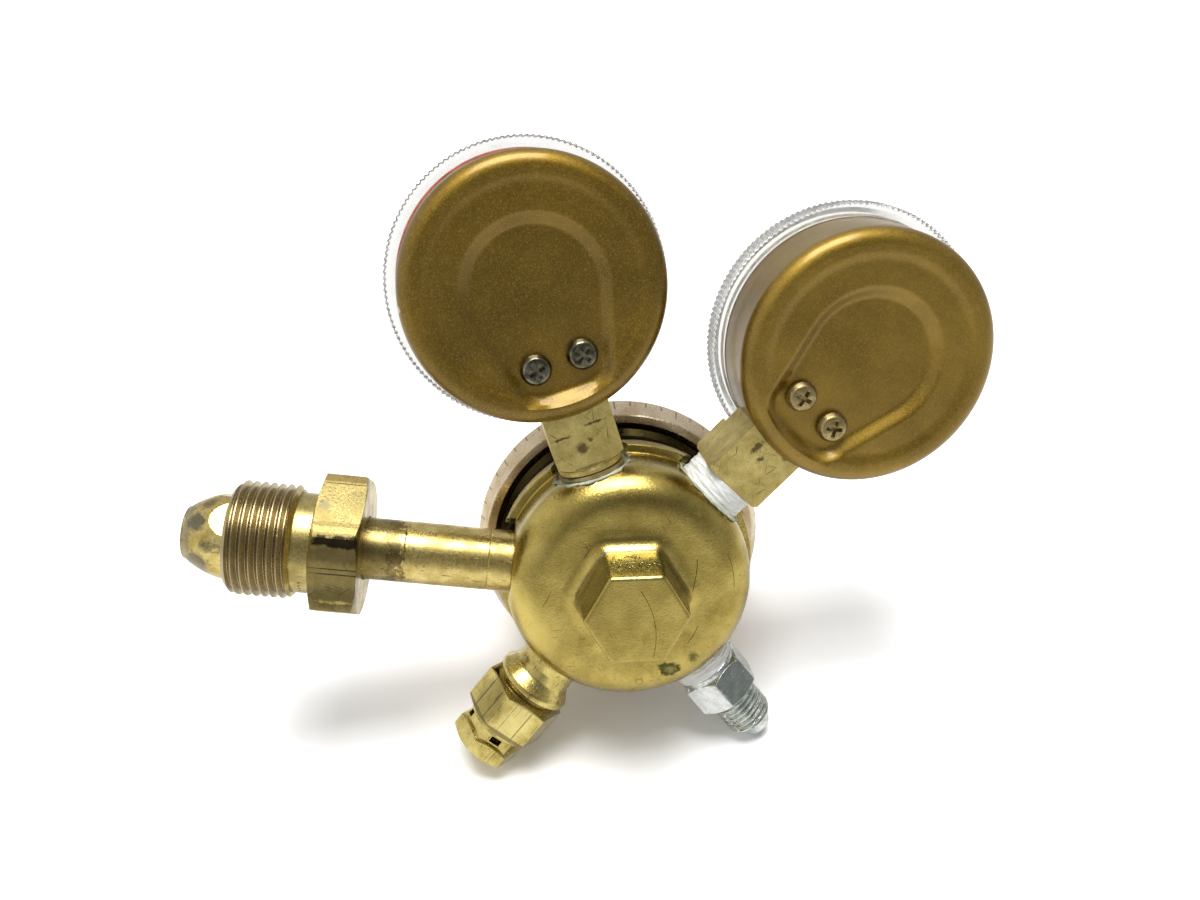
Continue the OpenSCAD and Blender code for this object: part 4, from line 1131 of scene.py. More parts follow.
@dataclass
class Bonnet:
    """The bonnet that holds the main spring, with a ring of plain engraved ticks."""

    radius: float = 33.7
    rear_radius: float = 31.8
    rear: float = 16.2
    shoulder: float = 21.6
    thread: float = 28.62
    neck: float = 11.5
    front: float = 68.0
    ticks: int = 56

    def profile(self) -> Points:
        """Draws the bonnet, outside and inside.

        Returns:
            The closed profile.
        """
        bell = arc(self.radius - 45, self.shoulder + 5.4, 42, 0, 47.6, 16)
        outside = eased([
            (29.9, self.rear, 0), (self.rear_radius - 0.3, self.rear, 0.15),
            (self.rear_radius, self.rear + 0.3, 0.15), (self.radius, self.shoulder - 0.3, 0.3),
            (self.radius, self.shoulder, 0.2), (self.radius - 0.6, self.shoulder + 1, 0.4),
            (self.radius - 2.6, self.shoulder + 4.4, 1.0), bell[0],
        ])
        neck = eased([
            (bell[-1][0], bell[-1][1]), (self.neck, 60.7, 1.0), (self.neck, self.front - 0.8, 0.3),
            (self.neck - 0.8, self.front, 0.3), (6.4, self.front),
        ])
        inside = [
            (6.4, 56.6), (15.0, 56.6), (15.0, 43.7), (21.7, 29.7), (21.7, 26.12), (self.thread, 26.12),
            (self.thread, 17.5), (29.9, 16.2),
        ]
        return outside + bell[1:] + neck[1:] + inside

    def build(self) -> None:
        """Turns the bonnet, engraves its ticks and places it."""
        bonnet = Workpiece.lathe("bonnet_turned", self.profile(), 224)
        place = STANCE.on_axis()
        finish = Brass(
            "aged_bonnet_brass", "#e6d6ba", "#c3aa7f", "#6a5335", tarnished=0.35, cloud=8.0, rough=(0.22, 0.38),
            grain=0.4, grain_depth=0.01, lines=0.25, scratches=0.4, leans=ROUND,
        )
        bonnet.place(place, self.engraved(finish, place), "bonnet_brass", ("bonnet",))

    def engraved(self, finish: Brass, place: Matrix) -> bpy.types.Material:
        """Engraves plain ticks into the conical band.

        Args:
            finish: the bonnet's finish.
            place: the bonnet's place.

        Returns:
            The finish with its ticks.
        """
        b, inputs = finish.dress(place)
        x, y, z = b.add("SeparateXYZ", (b.point,)).node.outputs
        around = b.add("Math", (b.add("Math", (y, x), operation="ARCTAN2"), math.tau / self.ticks), operation="DIVIDE")
        off = b.add("Math", (b.add("Math", (around,), operation="FRACT"), 0.5), operation="SUBTRACT")
        line = b.add("MapRange", (b.add("Math", (off,), operation="ABSOLUTE"), 0.03, 0.05, 1.0, 0.0))
        quarter = b.add("Math", (b.add("Math", (around,), operation="FLOOR"), 0.25), operation="MULTIPLY")
        long = b.add("Math", (b.add("Math", (quarter,), operation="FRACT"), 0.2), operation="LESS_THAN")
        above = b.add("Math", (z, b.add("MapRange", (long, 0, 1, 19.6, 18.4))), operation="GREATER_THAN")
        below = b.add("Math", (z, 21.1), operation="LESS_THAN")
        mask = b.add("Math", (line, b.add("Math", (above, below), operation="MULTIPLY")), operation="MULTIPLY")
        b.etch(inputs, mask, 0.75, "#6b5535", 0.1)
        return b.feed(Metallic=1.0, **inputs)


@dataclass(frozen=True)
class Spring:
    """A compression spring with closed ends, in millimetres."""

    node: str
    wire: float
    radius: float
    height: float
    turns: int
    joint: str
    travel: float
    foot_stays: bool = True
    gap: float = 0.45
    facets: int = 32

    def wind(self) -> bmesh.types.BMesh:
        """Winds the wire round Z, from the foot up.

        Returns:
            The spring's skin.
        """
        shut = self.wire + self.gap
        lead = (self.height - self.wire - 2 * shut) / (self.turns - 2)
        bm = bmesh.new()
        section = bmesh.ops.create_circle(bm, cap_ends=True, segments=12, radius=self.wire / 2)["verts"]
        bmesh.ops.rotate(bm, verts=section, matrix=Matrix.Rotation(math.radians(90), 3, "X"), cent=(0, 0, 0))
        bmesh.ops.translate(bm, verts=section, vec=(self.radius, 0, self.wire / 2))
        loop, edges = list(section), list(bm.edges)
        start = [v.co.copy() for v in loop]
        for i in range(1, self.turns * self.facets + 1):
            turn = i / self.facets
            past = turn - self.turns + 1
            rise = shut * min(turn, 1) + lead * max(0, min(turn - 1, self.turns - 2)) + shut * max(0, past)
            drawn = bmesh.ops.extrude_edge_only(bm, edges=edges)["geom"]
            fresh = [g for g in drawn if isinstance(g, bmesh.types.BMVert)]
            edges = [g for g in drawn if isinstance(g, bmesh.types.BMEdge) and all(v in fresh for v in g.verts)]
            near = {v: min(range(len(loop)), key=lambda k: (loop[k].co - v.co).length) for v in fresh}
            spin = Matrix.Rotation(math.tau * turn, 4, "Z")
            ordered = [None] * len(loop)
            for vert, k in near.items():
                ordered[k] = vert
            for k, vert in enumerate(ordered):
                vert.co = spin @ start[k] + Vector((0, 0, rise))
            loop = ordered
        bmesh.ops.holes_fill(bm, edges=edges, sides=0)
        bmesh.ops.recalc_face_normals(bm, faces=bm.faces)
        return bm

    def build(self, place: Matrix, material: bpy.types.Material) -> None:
        """Winds the spring and places it.

        Args:
            place: the frame its foot stands in.
            material: its finish.
        """
        spring = Workpiece(f"{self.node}_wound").take(self.wind())
        piece = spring.place(place, material, "spring_steel", (self.node,), sharp=60)
        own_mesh(piece)


# ---------------------------------------------------------------- inlet

@dataclass
class Inlet:
    """The inlet stem with its bullet nose, and the nut that turns on it."""

    stem: float = 6.7
    near: float = 57.2
    hexagon: float = 67.0
    collar: float = 71.9
    end: float = 85.1
    flats: float = 28.58
    collar_radius: float = 10.8
    major: float = 12.25
    pitch: float = 1.814
    nose: float = 9.55
    nose_curve: float = 19.4
    nose_length: float = 9.8
    nose_flats: float = 17.5
    nut_bore: float = 6.95
    passage: float = 2.92

    def build(self) -> None:
        """Turns the stem and the nut."""
        place = Port.INLET.place()
        self.nipple(place)
        self.nut(place)

    def nipple(self, place: Matrix) -> None:
        """Turns the stem, mills the flats of its nose and places it.

        Args:
            place: the inlet's frame.
        """
        tip = self.end + self.nose_length
        centre = self.nose - math.sqrt(self.nose_curve ** 2 - 2.5 ** 2), self.end - 2.5
        top = math.degrees(math.asin((self.nose_length - 0.5 + 2.5) / self.nose_curve))
        curve = arc(*centre, self.nose_curve, math.degrees(math.asin(2.5 / self.nose_curve)), top, 24)
        edge = curve[-1][0]
        point = eased([(edge, tip - 0.45), (edge - 0.15, tip - 0.1, 0.2), (edge - 0.6, tip, 0.2), (0, tip)])
        nose = Workpiece.lathe("nose", [(0, self.end)] + curve + point, 160)
        nose.meet(Workpiece.prism("flats", self.nose_flats, self.end - 1, tip + 1, -15))
        shank = Workpiece.lathe("inlet_nipple_turned", eased([
            (0, 15.6), (6.6, 15.6, 0.3), (6.6, 25.62, 0.1), (self.stem, 25.62, 0.1), (self.stem, 30.6),
            (self.stem - 0.1, 30.75), (self.stem, 30.9), (self.stem, 48.5), (self.stem - 0.08, 48.65),
            (self.stem, 48.8), (self.stem, 82.0, 0.3), (self.nose - 0.4, 82.0, 0.2),
            (self.nose, 82.4, 0.2), (self.nose, self.end - 0.02, 0.1), (0, self.end - 0.02),
        ]), 160)
        shank.join(nose)
        shank.cut(Workpiece.rod("passage", self.passage, tip - 10, tip + 1))
        finish = Brass(
            "turned_inlet_brass", "#dcc77f", "#b7a05c", "#594c2c", tarnished=0.62, cloud=3.6, rough=(0.2, 0.4),
            grain=0.5, grain_depth=0.01, lines=0.3, scratches=0.9, leans=ROUND, patches=(
                Patch((5.2, -6.0, 91.6), 2.2, "#4c4e50", 0.8, 1.0, 1.6, 1.4),
                Patch((-3.4, -6.6, 90.6), 2.6, "#55544d", 0.75, 1.2, 1.6, 1.4),
                Patch((1.0, -8.0, 87.0), 1.5, "#4e4d47", 0.75, 1.0, 1.2, 1.2, (1, 1, 1.8)),
                Patch((7.5, -2.0, 89.5), 1.6, "#5c5b55", 0.6, 1.2, 1.6, 1.3),
            ),
            bands=(
                Band(49.0, 51.6, "#5e5132", 0.75, 2.6), Band(51.0, 58, "#433823", 0.6, 2.2),
                Band(92.6, 99, "#77736a", 0.6, 1.4),
            ),
        )
        shank.place(place, finish.make(place), "turned_brass", ("inlet_nipple",), sharp=24)

    def nut(self, place: Matrix) -> None:
        """Cuts the nut's hexagon, collar and thread, and places it on its own body.

        Args:
            place: the inlet's frame.
        """
        bar = chamfered_bar("inlet_nut_cut", self.flats, self.near, self.hexagon, -2, 0.9, 0.1)
        bar.cut(Workpiece.rod("bore", self.nut_bore, self.near - 1, self.hexagon + 1))
        bar.soften(0.22, 24)
        collar = Workpiece.lathe("collar", eased([
            (self.nut_bore, self.hexagon - 1), (self.collar_radius - 0.3, self.hexagon - 1),
            (self.collar_radius - 0.3, self.hexagon + 0.5, 0.1), (self.collar_radius, self.hexagon + 0.8, 0.1),
            (self.collar_radius, self.collar + 0.6, 0.2), (self.nut_bore, self.collar + 0.6),
        ]), 160)
        minor = self.major - 0.62 * self.pitch
        thread = Workpiece.thread("crests", self.major, minor, self.pitch, self.collar - 0.4, self.end, (0.9, 1.35))
        thread.cut(Workpiece.rod("bore", self.nut_bore, self.collar - 2, self.end + 2))
        thread.cut(Workpiece.rod("mouth", self.nose + 0.35, 81.7, self.end + 1, 96))
        for turn in (-118, -124, -130, -136):
            dot = Workpiece.lathe("punch", arc(0, self.collar_radius + 0.06, 0.3, -90, 90, 8), 16)
            outwards = Matrix.Translation((0, 0, 69.5)) @ Matrix.Rotation(math.radians(90), 4, "Y")
            dot.moved(Matrix.Rotation(math.radians(turn), 4, "Z") @ outwards)
            collar.cut(dot)
        bar.join(collar).join(thread)
        finish = Brass(
            "machined_nut_brass", "#c6b373", "#a19059", "#453c29", tarnished=0.5, cloud=4.0, rough=(0.2, 0.36),
            grain=0.4, grain_depth=0.008, lines=0.3, scratches=0.8, patches=(
                # The first patch darkens the whole front flat: tarnish and painted shade.
                Patch((0.0, -14.3, 61.0), 12.0, "#6d6039", 0.62, 2.0, 1.0, 2.0, (1, 0.1, 2)),
                Patch((4.2, -14.3, 60.5), 2.2, "#443b27", 0.6, 1.6, 1.2, 1.2, (1.0, 1, 3.6)),
                Patch((6.9, -14.3, 60.2), 1.25, "#14110d", 0.93, 0.4, 0.8, 1.4, (1.0, 1, 6.0)),
                Patch((-5.6, -14.3, 61.5), 2.0, "#3b331f", 0.55, 1.4, 1.6, 1.0, (1.3, 1, 3.0)),
                Patch((-6.6, -14.3, 61.0), 0.5, "#c9b06a", 0.7, 0.4, 0.8, 0.9, (0.7, 1, 6.0)),
                Patch((0.85, -14.3, 60.6), 0.13, "#241e12", 0.9, 0.1, 0.05, 1.0, (1, 1, 50)),
                Patch((-0.3, -14.3, 60.6), 0.13, "#241e12", 0.9, 0.1, 0.05, 1.0, (1, 1, 50)),
                Patch((16.1, -1.1, 60.6), 1.3, "#6b5b38", 0.75, 0.3, 0.3, 1.0, (1, 1, 12)),
                Patch((9.6, -11.6, 60.6), 0.6, "#77683f", 0.6, 0.4, 0.5, 1.4, (1, 1, 14)),
                Patch((12.0, -7.6, 65.2), 1.2, "#7f7c62", 0.7, 0.6, 1.2, 1.0),
                Patch((13.2, -5.8, 57.6), 2.2, "#8f8355", 0.45, 1.4, 1.6, 1.0, (1, 1, 1.4)),
                Patch((15.2, -2.65, 60.6), 0.14, "#43381f", 0.8, 0.1, 0.05, 1.0, (1, 1, 50)),
            ),
            bands=(Band(72.2, 88.9, "#a6987c", 0.72, 0.2),),
        )
        bar.place(place, finish.make(place), "nut_brass", ("inlet_nut",), "nut", sharp=28)


# ---------------------------------------------------------------- relief valve and outlet

@dataclass
class ReliefValve:
    """The relief valve: a waisted body with a hexagon, and a vented cap."""

    near: float = 36.1
    far: float = 46.1
    flats: float = 17.46
    cap_flats: float = 14.29
    cap_near: float = 47.3
    cap_head: float = 49.9
    cap_far: float = 54.3
    turn: float = 1.0
    bead: float = 8.75
    bore: float = 5.02

    def build(self) -> None:
        """Turns and mills both pieces and places them."""
        place = Port.RELIEF.place()
        finish = Brass(
            "machined_relief_brass", "#d9c87c", "#b6a25c", "#5c4e30", tarnished=0.35, cloud=5.0, rough=(0.16, 0.34),
            grain=0.45, grain_depth=0.01, scratches=1.0, leans=((0, 0, 0), (1, 1, 0), (0, -2, 0)), share=0.09,
            patches=(
                Patch((7.0, -5.4, 41.3), 4.3, "#6b6032", 0.55, 1.6, 0.9, 1.0, (1, 1, 1.3)),
                Patch((0.2, -8.8, 41.0), 3.3, "#e3d48c", 0.6, 1.2, 1.2, 1.0, (1, 1, 1.5)),
                Patch((8.2, -3.2, 41.0), 0.16, "#33291a", 0.8, 0.12, 0.1, 1.0, (1, 1, 40)),
                Patch((6.3, -6.8, 41.0), 0.16, "#33291a", 0.8, 0.12, 0.1, 1.0, (1, 1, 40)),
                Patch((2.3, -8.8, 41.0), 0.14, "#4a3d22", 0.7, 0.12, 0.1, 1.0, (1, 1, 40)),
                Patch((-1.6, -8.8, 41.0), 0.14, "#4a3d22", 0.7, 0.12, 0.1, 1.0, (1, 1, 40)),
            ),
            # Both dark bands are painted shade: in the groove before the hexagon, and at the hexagon's far end against
            # the ring.
            bands=(Band(44.8, 46.15, "#6b5d42", 0.75, 0.1), Band(35.4, 36.9, "#6b5d42", 0.55, 0.2)),
        ).make(place)
        self.body(place, finish)
        self.cap(place, finish)

    def body(self, place: Matrix, finish: bpy.types.Material) -> None:
        """Turns the waisted neck and saws the hexagon.

        Args:
            place: the valve's frame.
            finish: its finish.
        """
        bead = self.bead
        neck = Workpiece.lathe("relief_body_turned", eased([
            (self.bore, 15.7), (6.6, 15.7, 0.2), (6.6, 25.62), (7.3, 25.62, 0.2), (7.15, 26.6, 0.4), (6.72, 28.4, 1.4),
            (6.9, 30.6, 1.6), (8.0, 32.4, 1.2), (bead, 33.3, 0.8), (bead, 34.5, 0.8), (bead - 1.7, 35.3, 0.3),
            (bead - 1.7, 35.7, 0.2), (self.flats / 2 - 0.4, self.near, 0.1), (self.bore, self.near + 0.4),
        ], 6), 160)
        ring = Workpiece.lathe("relief_ring", eased([
            (self.bore, self.far - 1), (7.7, self.far - 1), (7.7, self.far + 0.95, 0.2), (7.4, self.far + 1.2, 0.15),
            (self.bore, self.far + 1.2),
        ]), 128)
        bar = chamfered_bar("relief_hexagon", self.flats, self.near, self.far, self.turn, 1.1, 0.55)
        bar.cut(Workpiece.rod("bore", self.bore, self.near - 1, self.far + 1))
        bar.soften(0.16, 24)
        neck.join(bar).join(ring).place(place, finish, "relief_brass", ("relief_body",), sharp=28)

    def cap(self, place: Matrix, finish: bpy.types.Material) -> None:
        """Saws the cap, drills it from inside and mills its vent slots.

        Args:
            place: the valve's frame.
            finish: its finish.
        """
        cap = chamfered_bar("relief_cap_milled", self.cap_flats, self.cap_head, self.cap_far, self.turn, 1.0, 0.5)
        cap.fuse(Workpiece.prism("neck", self.cap_flats - 1.6, self.cap_near + 0.02, self.cap_head + 0.5, self.turn))
        cap.fuse(Workpiece.rod("thread", 4.98, self.cap_near - 4, self.cap_near + 0.5))
        cap.cut(Workpiece.rod("spring_well", 4.0, self.cap_near - 5, self.cap_near + 1))
        for side in (0, 90):
            slot = Workpiece.block("slot", (-10, -1.3, self.cap_near + 0.6), (10, 1.3, self.cap_near + 2.1))
            cap.cut(slot.moved(Matrix.Rotation(math.radians(side), 4, "Z")))
        cap.soften(0.14, 24)
        cap.place(place, finish, "relief_brass", ("relief_cap",), sharp=28)


@dataclass
class Outlet:
    """The zinc-plated outlet fitting with its flare thread and cone."""

    near: float = 30.6
    far: float = 39.2
    flats: float = 14.29
    thread_end: float = 48.2
    tip: float = 51.4
    major: float = 5.56
    pitch: float = 1.27
    bore: float = 2.2

    def build(self) -> None:
        """Cuts the fitting and places it."""
        place = Port.OUTLET.place()
        bar = chamfered_bar("outlet_fitting_cut", self.flats, self.near, self.far, 30, 1.2, 0.4)
        bar.cut(Workpiece.rod("bore", self.bore, self.near - 1, self.far + 1))
        bar.soften(0.16, 24)
        collar = Workpiece.lathe("outlet_collar", eased([
            (self.bore, 15.6), (6.6, 15.6, 0.3), (6.6, 29.4), (6.7, 29.4), (7.04, 29.8, 0.2),
            (7.04, self.near + 0.3, 0.2), (self.bore, self.near + 0.6),
        ]), 128)
        minor = self.major - 0.6 * self.pitch
        thread = Workpiece.thread(
            "flare_thread", self.major, minor, self.pitch, self.far - 0.1, self.thread_end, (0.7, 0.75),
        )
        thread.cut(Workpiece.rod("bore", self.bore, self.far - 2, self.thread_end + 2))
        cone = Workpiece.lathe("cone", eased([
            (self.bore, self.thread_end - 1.2), (minor - 0.05, self.thread_end - 1.2),
            (minor + 0.25, self.thread_end - 0.3, 0.4), (3.2, self.tip - 0.5, 1.0), (2.6, self.tip, 0.2),
            (self.bore, self.tip),
        ], 6), 128)
        finish = Steel("zinc_plated_steel", "#e3e6e0", "#9aa19d", rough=(0.14, 0.34), scuff=0.5, lines=0.5, patches=(
            # Painted light: the first patch is painted shade on one flat, and the second is a painted reflection that
            # whitens the next flat.
            Patch((-7.9, -13.6, 34.9), 10.0, "#6c7672", 0.7, 0.5, 0.1, 1.0),
            Patch((7.9, -13.6, 34.9), 9.7, "#ffffff", 0.5, 1.0, 0.8, 0.8),
        ))
        bar.join(collar).join(thread).join(cone).place(
            place, finish.make(place), "zinc_steel", ("outlet_fitting",), sharp=28,
        )


@dataclass
class Tapes:
    """White thread tape, wound tight and squeezed out at the ports."""

    def build(self) -> None:
        """Winds the three tapes and lays the crust that one joint squeezed out."""
        finish = Plain("thread_seal_tape", "#fdfdfb", "#ecece6", rough=0.3, grain=0.5, depth=0.03, soft=0.25)
        stained = Plain("thread_seal_tape_stained", "#c3b48a", "#8a7849", rough=0.4, grain=0.5, depth=0.05, soft=0.15)
        self.wind("high_tape_wound", Port.HIGH, 6.62, 7.3, 25.64, 26.38, 0.12, stained, "high_gauge_tape")
        self.wind("low_tape_wound", Port.LOW, 7.08, 7.72, 25.64, 30.3, 0.3, finish, "low_gauge_tape")
        self.wind("outlet_tape_wound", Port.OUTLET, 6.62, 7.3, 25.64, 29.36, 0.2, finish, "outlet_tape")
        crust = Plain("dried_thread_sealant", "#cfd2ba", "#8d967a", rough=0.66, grain=0.4, depth=0.1)
        self.lumps("high_sealant_crust", Port.HIGH, 8.3, 25.62, crust)
        self.lumps("low_sealant_crust", Port.LOW, 8.6, 25.66, crust)

    def wind(
        self, name: str, port: Port, inner: float, outer: float, low: float, high: float,
        ruffle: float, finish: Plain, node: str,
    ) -> None:
        """Winds a tape between two radii, with wrinkles that run round it.

        Args:
            name: the piece's name.
            port: the port it seals.
            inner, outer: its radii.
            low, high: its ends on the port's axis.
            ruffle: how deep its wrinkles are.
            finish: its finish.
            node: the node it stands for.
        """
        place = port.place()
        rows = 18
        rise = (high - low) / rows
        profile = [(inner, low)] + [(outer, low + rise * i) for i in range(rows + 1)] + [(inner, high)]
        tape = Workpiece.lathe(name, profile, 200)
        bm = tape.edit()
        for vert in bm.verts:
            if vert.co.xy.length > (inner + outer) / 2:
                angle = math.atan2(vert.co.y, vert.co.x)
                spot = Vector((math.cos(angle) * 2.2, math.sin(angle) * 2.2, vert.co.z * 1.7 + angle * 0.25))
                vert.co.xy *= 1 + ruffle * (noise.fractal(spot, 0.9, 2.1, 4) - 0.1) / outer
        bmesh.ops.recalc_face_normals(bm, faces=bm.faces)
        tape.take(bm).place(place, finish.make(place), "thread_tape", (node,), sharp=50)

    def lumps(self, name: str, port: Port, radius: float, level: float, finish: Plain) -> None:
        """Smears a thin lumpy ring of dried sealant round a port.

        Args:
            name: the piece's name.
            port: the port it lies round.
            radius, level: the ring's radius and its height on the port's axis.
            finish: its finish.
        """
        place = port.place()
        thick, wide = 0.2, 2.4
        ring = Workpiece.lathe(name, arc(radius, level, thick, 0, 330, 11), 220)
        bm = ring.edit()
        for vert in bm.verts:
            angle = math.atan2(vert.co.y, vert.co.x)
            swell = noise.fractal(Vector((math.cos(angle) * 3, math.sin(angle) * 3, 4.0)), 0.9, 2.1, 4)
            aside = abs(math.sin(angle))
            share = 0.4 + 0.9 * aside + 0.8 * swell + 0.35 * noise.noise(vert.co * 1.6)
            out = vert.co.xy.length - radius
            vert.co.xy *= (radius + 0.4 * swell + out * wide * share) / vert.co.xy.length
            vert.co.z = level + (vert.co.z - level) * max(share, 0.3)
        bmesh.ops.recalc_face_normals(bm, faces=bm.faces)
        ring.take(bm).place(place, finish.make(place), "thread_tape", sharp=80)


# ---------------------------------------------------------------- gauges

@dataclass(frozen=True)
class Recess:
    """The pressed recess in the back of a gauge: round about the middle, narrowing to the stem."""

    middle: float = 12.7
    end: float = 3.2
    end_x: float = 5.0
    end_y: float = 17.8
    depth: float = 1.7
    slope: float = 2.6

    def beyond(self, x: float, y: float) -> float:
        """Measures the way to the recess's outline.

        Args:
            x, y: a point on the back, from its middle.

        Returns:
            How far the point lies outside, negative inside.
        """
        x = abs(x)
        reach = math.hypot(self.end_x, self.end_y)
        lean = (self.middle - self.end) / reach
        ux, uy = self.end_x / reach, self.end_y / reach
        along = x * ux + y * uy
        aside = x * uy - y * ux
        span = math.sqrt(1 - lean ** 2)
        if aside < 0:
            return y - self.end_y - self.end if y > 0 else math.hypot(x, y) - self.middle
        share = along * span - aside * lean
        if share < 0:
            return math.hypot(x, y) - self.middle
        if share > reach * span:
            return math.hypot(x - self.end_x, y - self.end_y) - self.end
        return along * lean + aside * span - self.middle

    def drop(self, x: float, y: float) -> float:
        """Measures how deep the sheet is pressed in.

        Args:
            x, y: a point on the back, from its middle.

        Returns:
            The depth there.
        """
        outside = self.beyond(x, y)
        if outside <= 0:
            return self.depth
        share = max(0.0, 1 - outside / self.slope)
        return self.depth * (0.7 * share + 0.3 * share * share * (3 - 2 * share))


@dataclass
class Gauge:
    """One two-inch gauge with its socket, case, lens, dial and movement."""

    place: GaugePlace
    paint: GoldPaint
    screw_finish: object
    screw_slot: str
    full_scale: int
    numbers: int
    gasket_red: bool = True
    marks: tuple[Patch, ...] = ()
    knurls: int = 148
    knurl_depth: float = 0.38
    case_radius: float = 26.8
    case_front: float = 8.6
    case_rear: float = 9.7
    sheet: float = 0.9
    rim: float = 3.3
    step_share: float = 0.8
    step_depth: float = 0.5
    lens_radius: float = 29.8
    lens_back: float = 5.6
    band_front: float = 11.1
    lens_front: float = 13.0
    side: float = 14.2
    stem_length: float = 38.7
    dial_face: float = 7.31
    scale_zero: float = 45.0
    scale_sweep: float = 270.0
    scale_rim: float = 23.8
    number_reach: float = 17.4
    recess: Recess = Recess()

    def node(self, name: str) -> str:
        """Returns the full name of one of this gauge's nodes."""
        return f"{self.place.prefix}_{name}"

    def build(self) -> None:
        """Builds the whole gauge."""
        dial = self.place.on_dial()
        self.case(dial)
        self.lens(dial)
        self.screws(dial)
        self.socket()
        self.print_dial(dial)

    def radii(self) -> list[tuple[float, float, bool]]:
        """Lists the rings of the case, from the middle of the back to the front.

        Returns:
            Radius, height and whether the recess is pressed there.
        """
        pace, half, rows = 0.4, 1.2, 6
        level = -self.case_rear + self.step_depth
        step = self.step_share * self.case_radius
        inner = math.ceil((step - half - 0.05 - pace / 2) / pace)
        out = [(pace * i + pace / 2, level, True) for i in range(inner)]
        for row in range(rows + 1):
            fall = 0.5 - 0.5 * math.cos(math.pi * row / rows)
            out.append((step - half + 2 * half * row / rows, level - self.step_depth * fall, True))
        out.append((step + half + 0.3, -self.case_rear, True))
        flat = self.case_radius - self.rim
        out += [(r, z, False) for r, z in arc(flat, -self.case_rear + self.rim, self.rim, -90, 0, 18)]
        return out + [(self.case_radius, z, False) for z in (0.0, 4.0, self.case_front)]

    def case(self, dial: Matrix) -> None:
        """Presses the case from sheet and cuts the slot for the stem.

        Args:
            dial: the gauge's frame.
        """

        def point(ring: tuple[float, float, bool], angle: float) -> tuple[float, float, float]:
            """Returns the point of a ring at an angle, pressed in where the recess is."""
            x, y = ring[0] * math.cos(angle), ring[0] * math.sin(angle)
            return (x, y, ring[1] + (self.recess.drop(x, y) if ring[2] else 0.0))

        bm = drawn_rings(self.radii(), point, 240)
        bmesh.ops.recalc_face_normals(bm, faces=bm.faces)
        if sum(f.normal.z for f in bm.faces) > 0:
            bmesh.ops.reverse_faces(bm, faces=bm.faces)
        bmesh.ops.solidify(bm, geom=list(bm.faces), thickness=self.sheet)
        bmesh.ops.recalc_face_normals(bm, faces=bm.faces)
        case = Workpiece(self.node("case_pressed")).take(bm)
        half = self.side / 2 + 0.15
        case.cut(Workpiece.block("slot", (-half, self.case_radius - 3.5, -half), (half, self.case_radius + 4, 20)))
        case.place(dial, self.paint.make(dial), "gauge_paint", (self.node("gauge_case"),), sharp=36)

    def lens(self, dial: Matrix) -> None:
        """Moulds the clear lens with a knurled band, and presses its gasket.

        Args:
            dial: the gauge's frame.
        """
        wall = self.case_radius + 0.15
        window = self.case_radius - 2.4
        top = self.lens_front
        inner = [
            (0, top - 1.8), (window - 0.3, top - 1.8), (window, top - 2.1), (window, self.case_front + 0.82),
            (wall, self.case_front + 0.82), (wall, self.lens_back),
        ]
        outer = eased([
            (wall, self.lens_back), (self.lens_radius - 0.35, self.lens_back, 0.1),
            (self.lens_radius, self.lens_back + 0.35, 0.1), (self.lens_radius, self.band_front - 0.35, 0.1),
            (self.lens_radius - 0.35, self.band_front, 0.1), (self.lens_radius - 1.4, self.band_front + 0.3, 0.5),
            (self.lens_radius - 2.6, top - 0.5, 0.5), (self.lens_radius - 4, top, 0.3), (0, top),
        ])
        lens = Workpiece.lathe(self.node("lens_moulded"), inner + outer[1:], self.knurls * 4)
        bm = lens.edit()
        step = math.tau / self.knurls / 4
        for vert in bm.verts:
            radius = vert.co.xy.length
            if radius > self.lens_radius - 0.5 and self.lens_back - 0.01 < vert.co.z < self.band_front + 0.01:
                phase = round(math.atan2(vert.co.y, vert.co.x) / step) % 4
                vert.co.xy *= 1 - self.knurl_depth * abs(phase - 2) / 2 / radius
        lens.take(bm).place(
            dial, ClearPlastic(self.node("lens_clear")).make(dial), "clear_lens", (self.node("lens"),), sharp=16,
        )
        front = self.case_front
        gasket = Workpiece.lathe(self.node("lens_gasket_pressed"), eased([
            (24.6, front + 0.02), (27.1, front + 0.02), (27.35, front + 0.25, 0.2), (27.1, front + 0.5),
            (24.6, front + 0.78),
        ]), 160)
        finish = Inner.RED if self.gasket_red else Inner.PALE
        gasket.place(dial, finish.value.make(dial), "gasket_red", (self.node("lens_gasket"),), sharp=50)

    def screws(self, dial: Matrix) -> None:
        """Turns the two screws in the back, with crossed slots.

        Args:
            dial: the gauge's frame.
        """
        seat = -self.case_rear + self.recess.depth - 0.02
        for side in (-1, 1):
            head = eased([
                (1.5, seat + 4.4), (1.5, seat), (3.2, seat, 0.12), (3.2, seat - 0.7, 0.2), (2.6, seat - 1.75, 0.9),
                (0, seat - 2.1),
            ], 5)
            screw = Workpiece.lathe(
                self.node(f"back_screw_{'left' if side < 0 else 'right'}"), [(0, seat + 4.4)] + head, 72,
            )
            for turn in (20 + 35 * side, 110 + 35 * side):
                groove = Workpiece.block("slot", (-1.7, -0.42, seat - 3), (1.7, 0.42, seat - 0.75))
                screw.cut(groove.moved(Matrix.Rotation(math.radians(turn), 4, "Z")))
            screw.soften(0.07, 40)
            screw.moved(Matrix.Translation((side * 4.9, 14.9, 0)))
            screw.place(dial, self.screw_finish.make(dial), self.screw_slot, (self.node("back_screws"),), sharp=34)

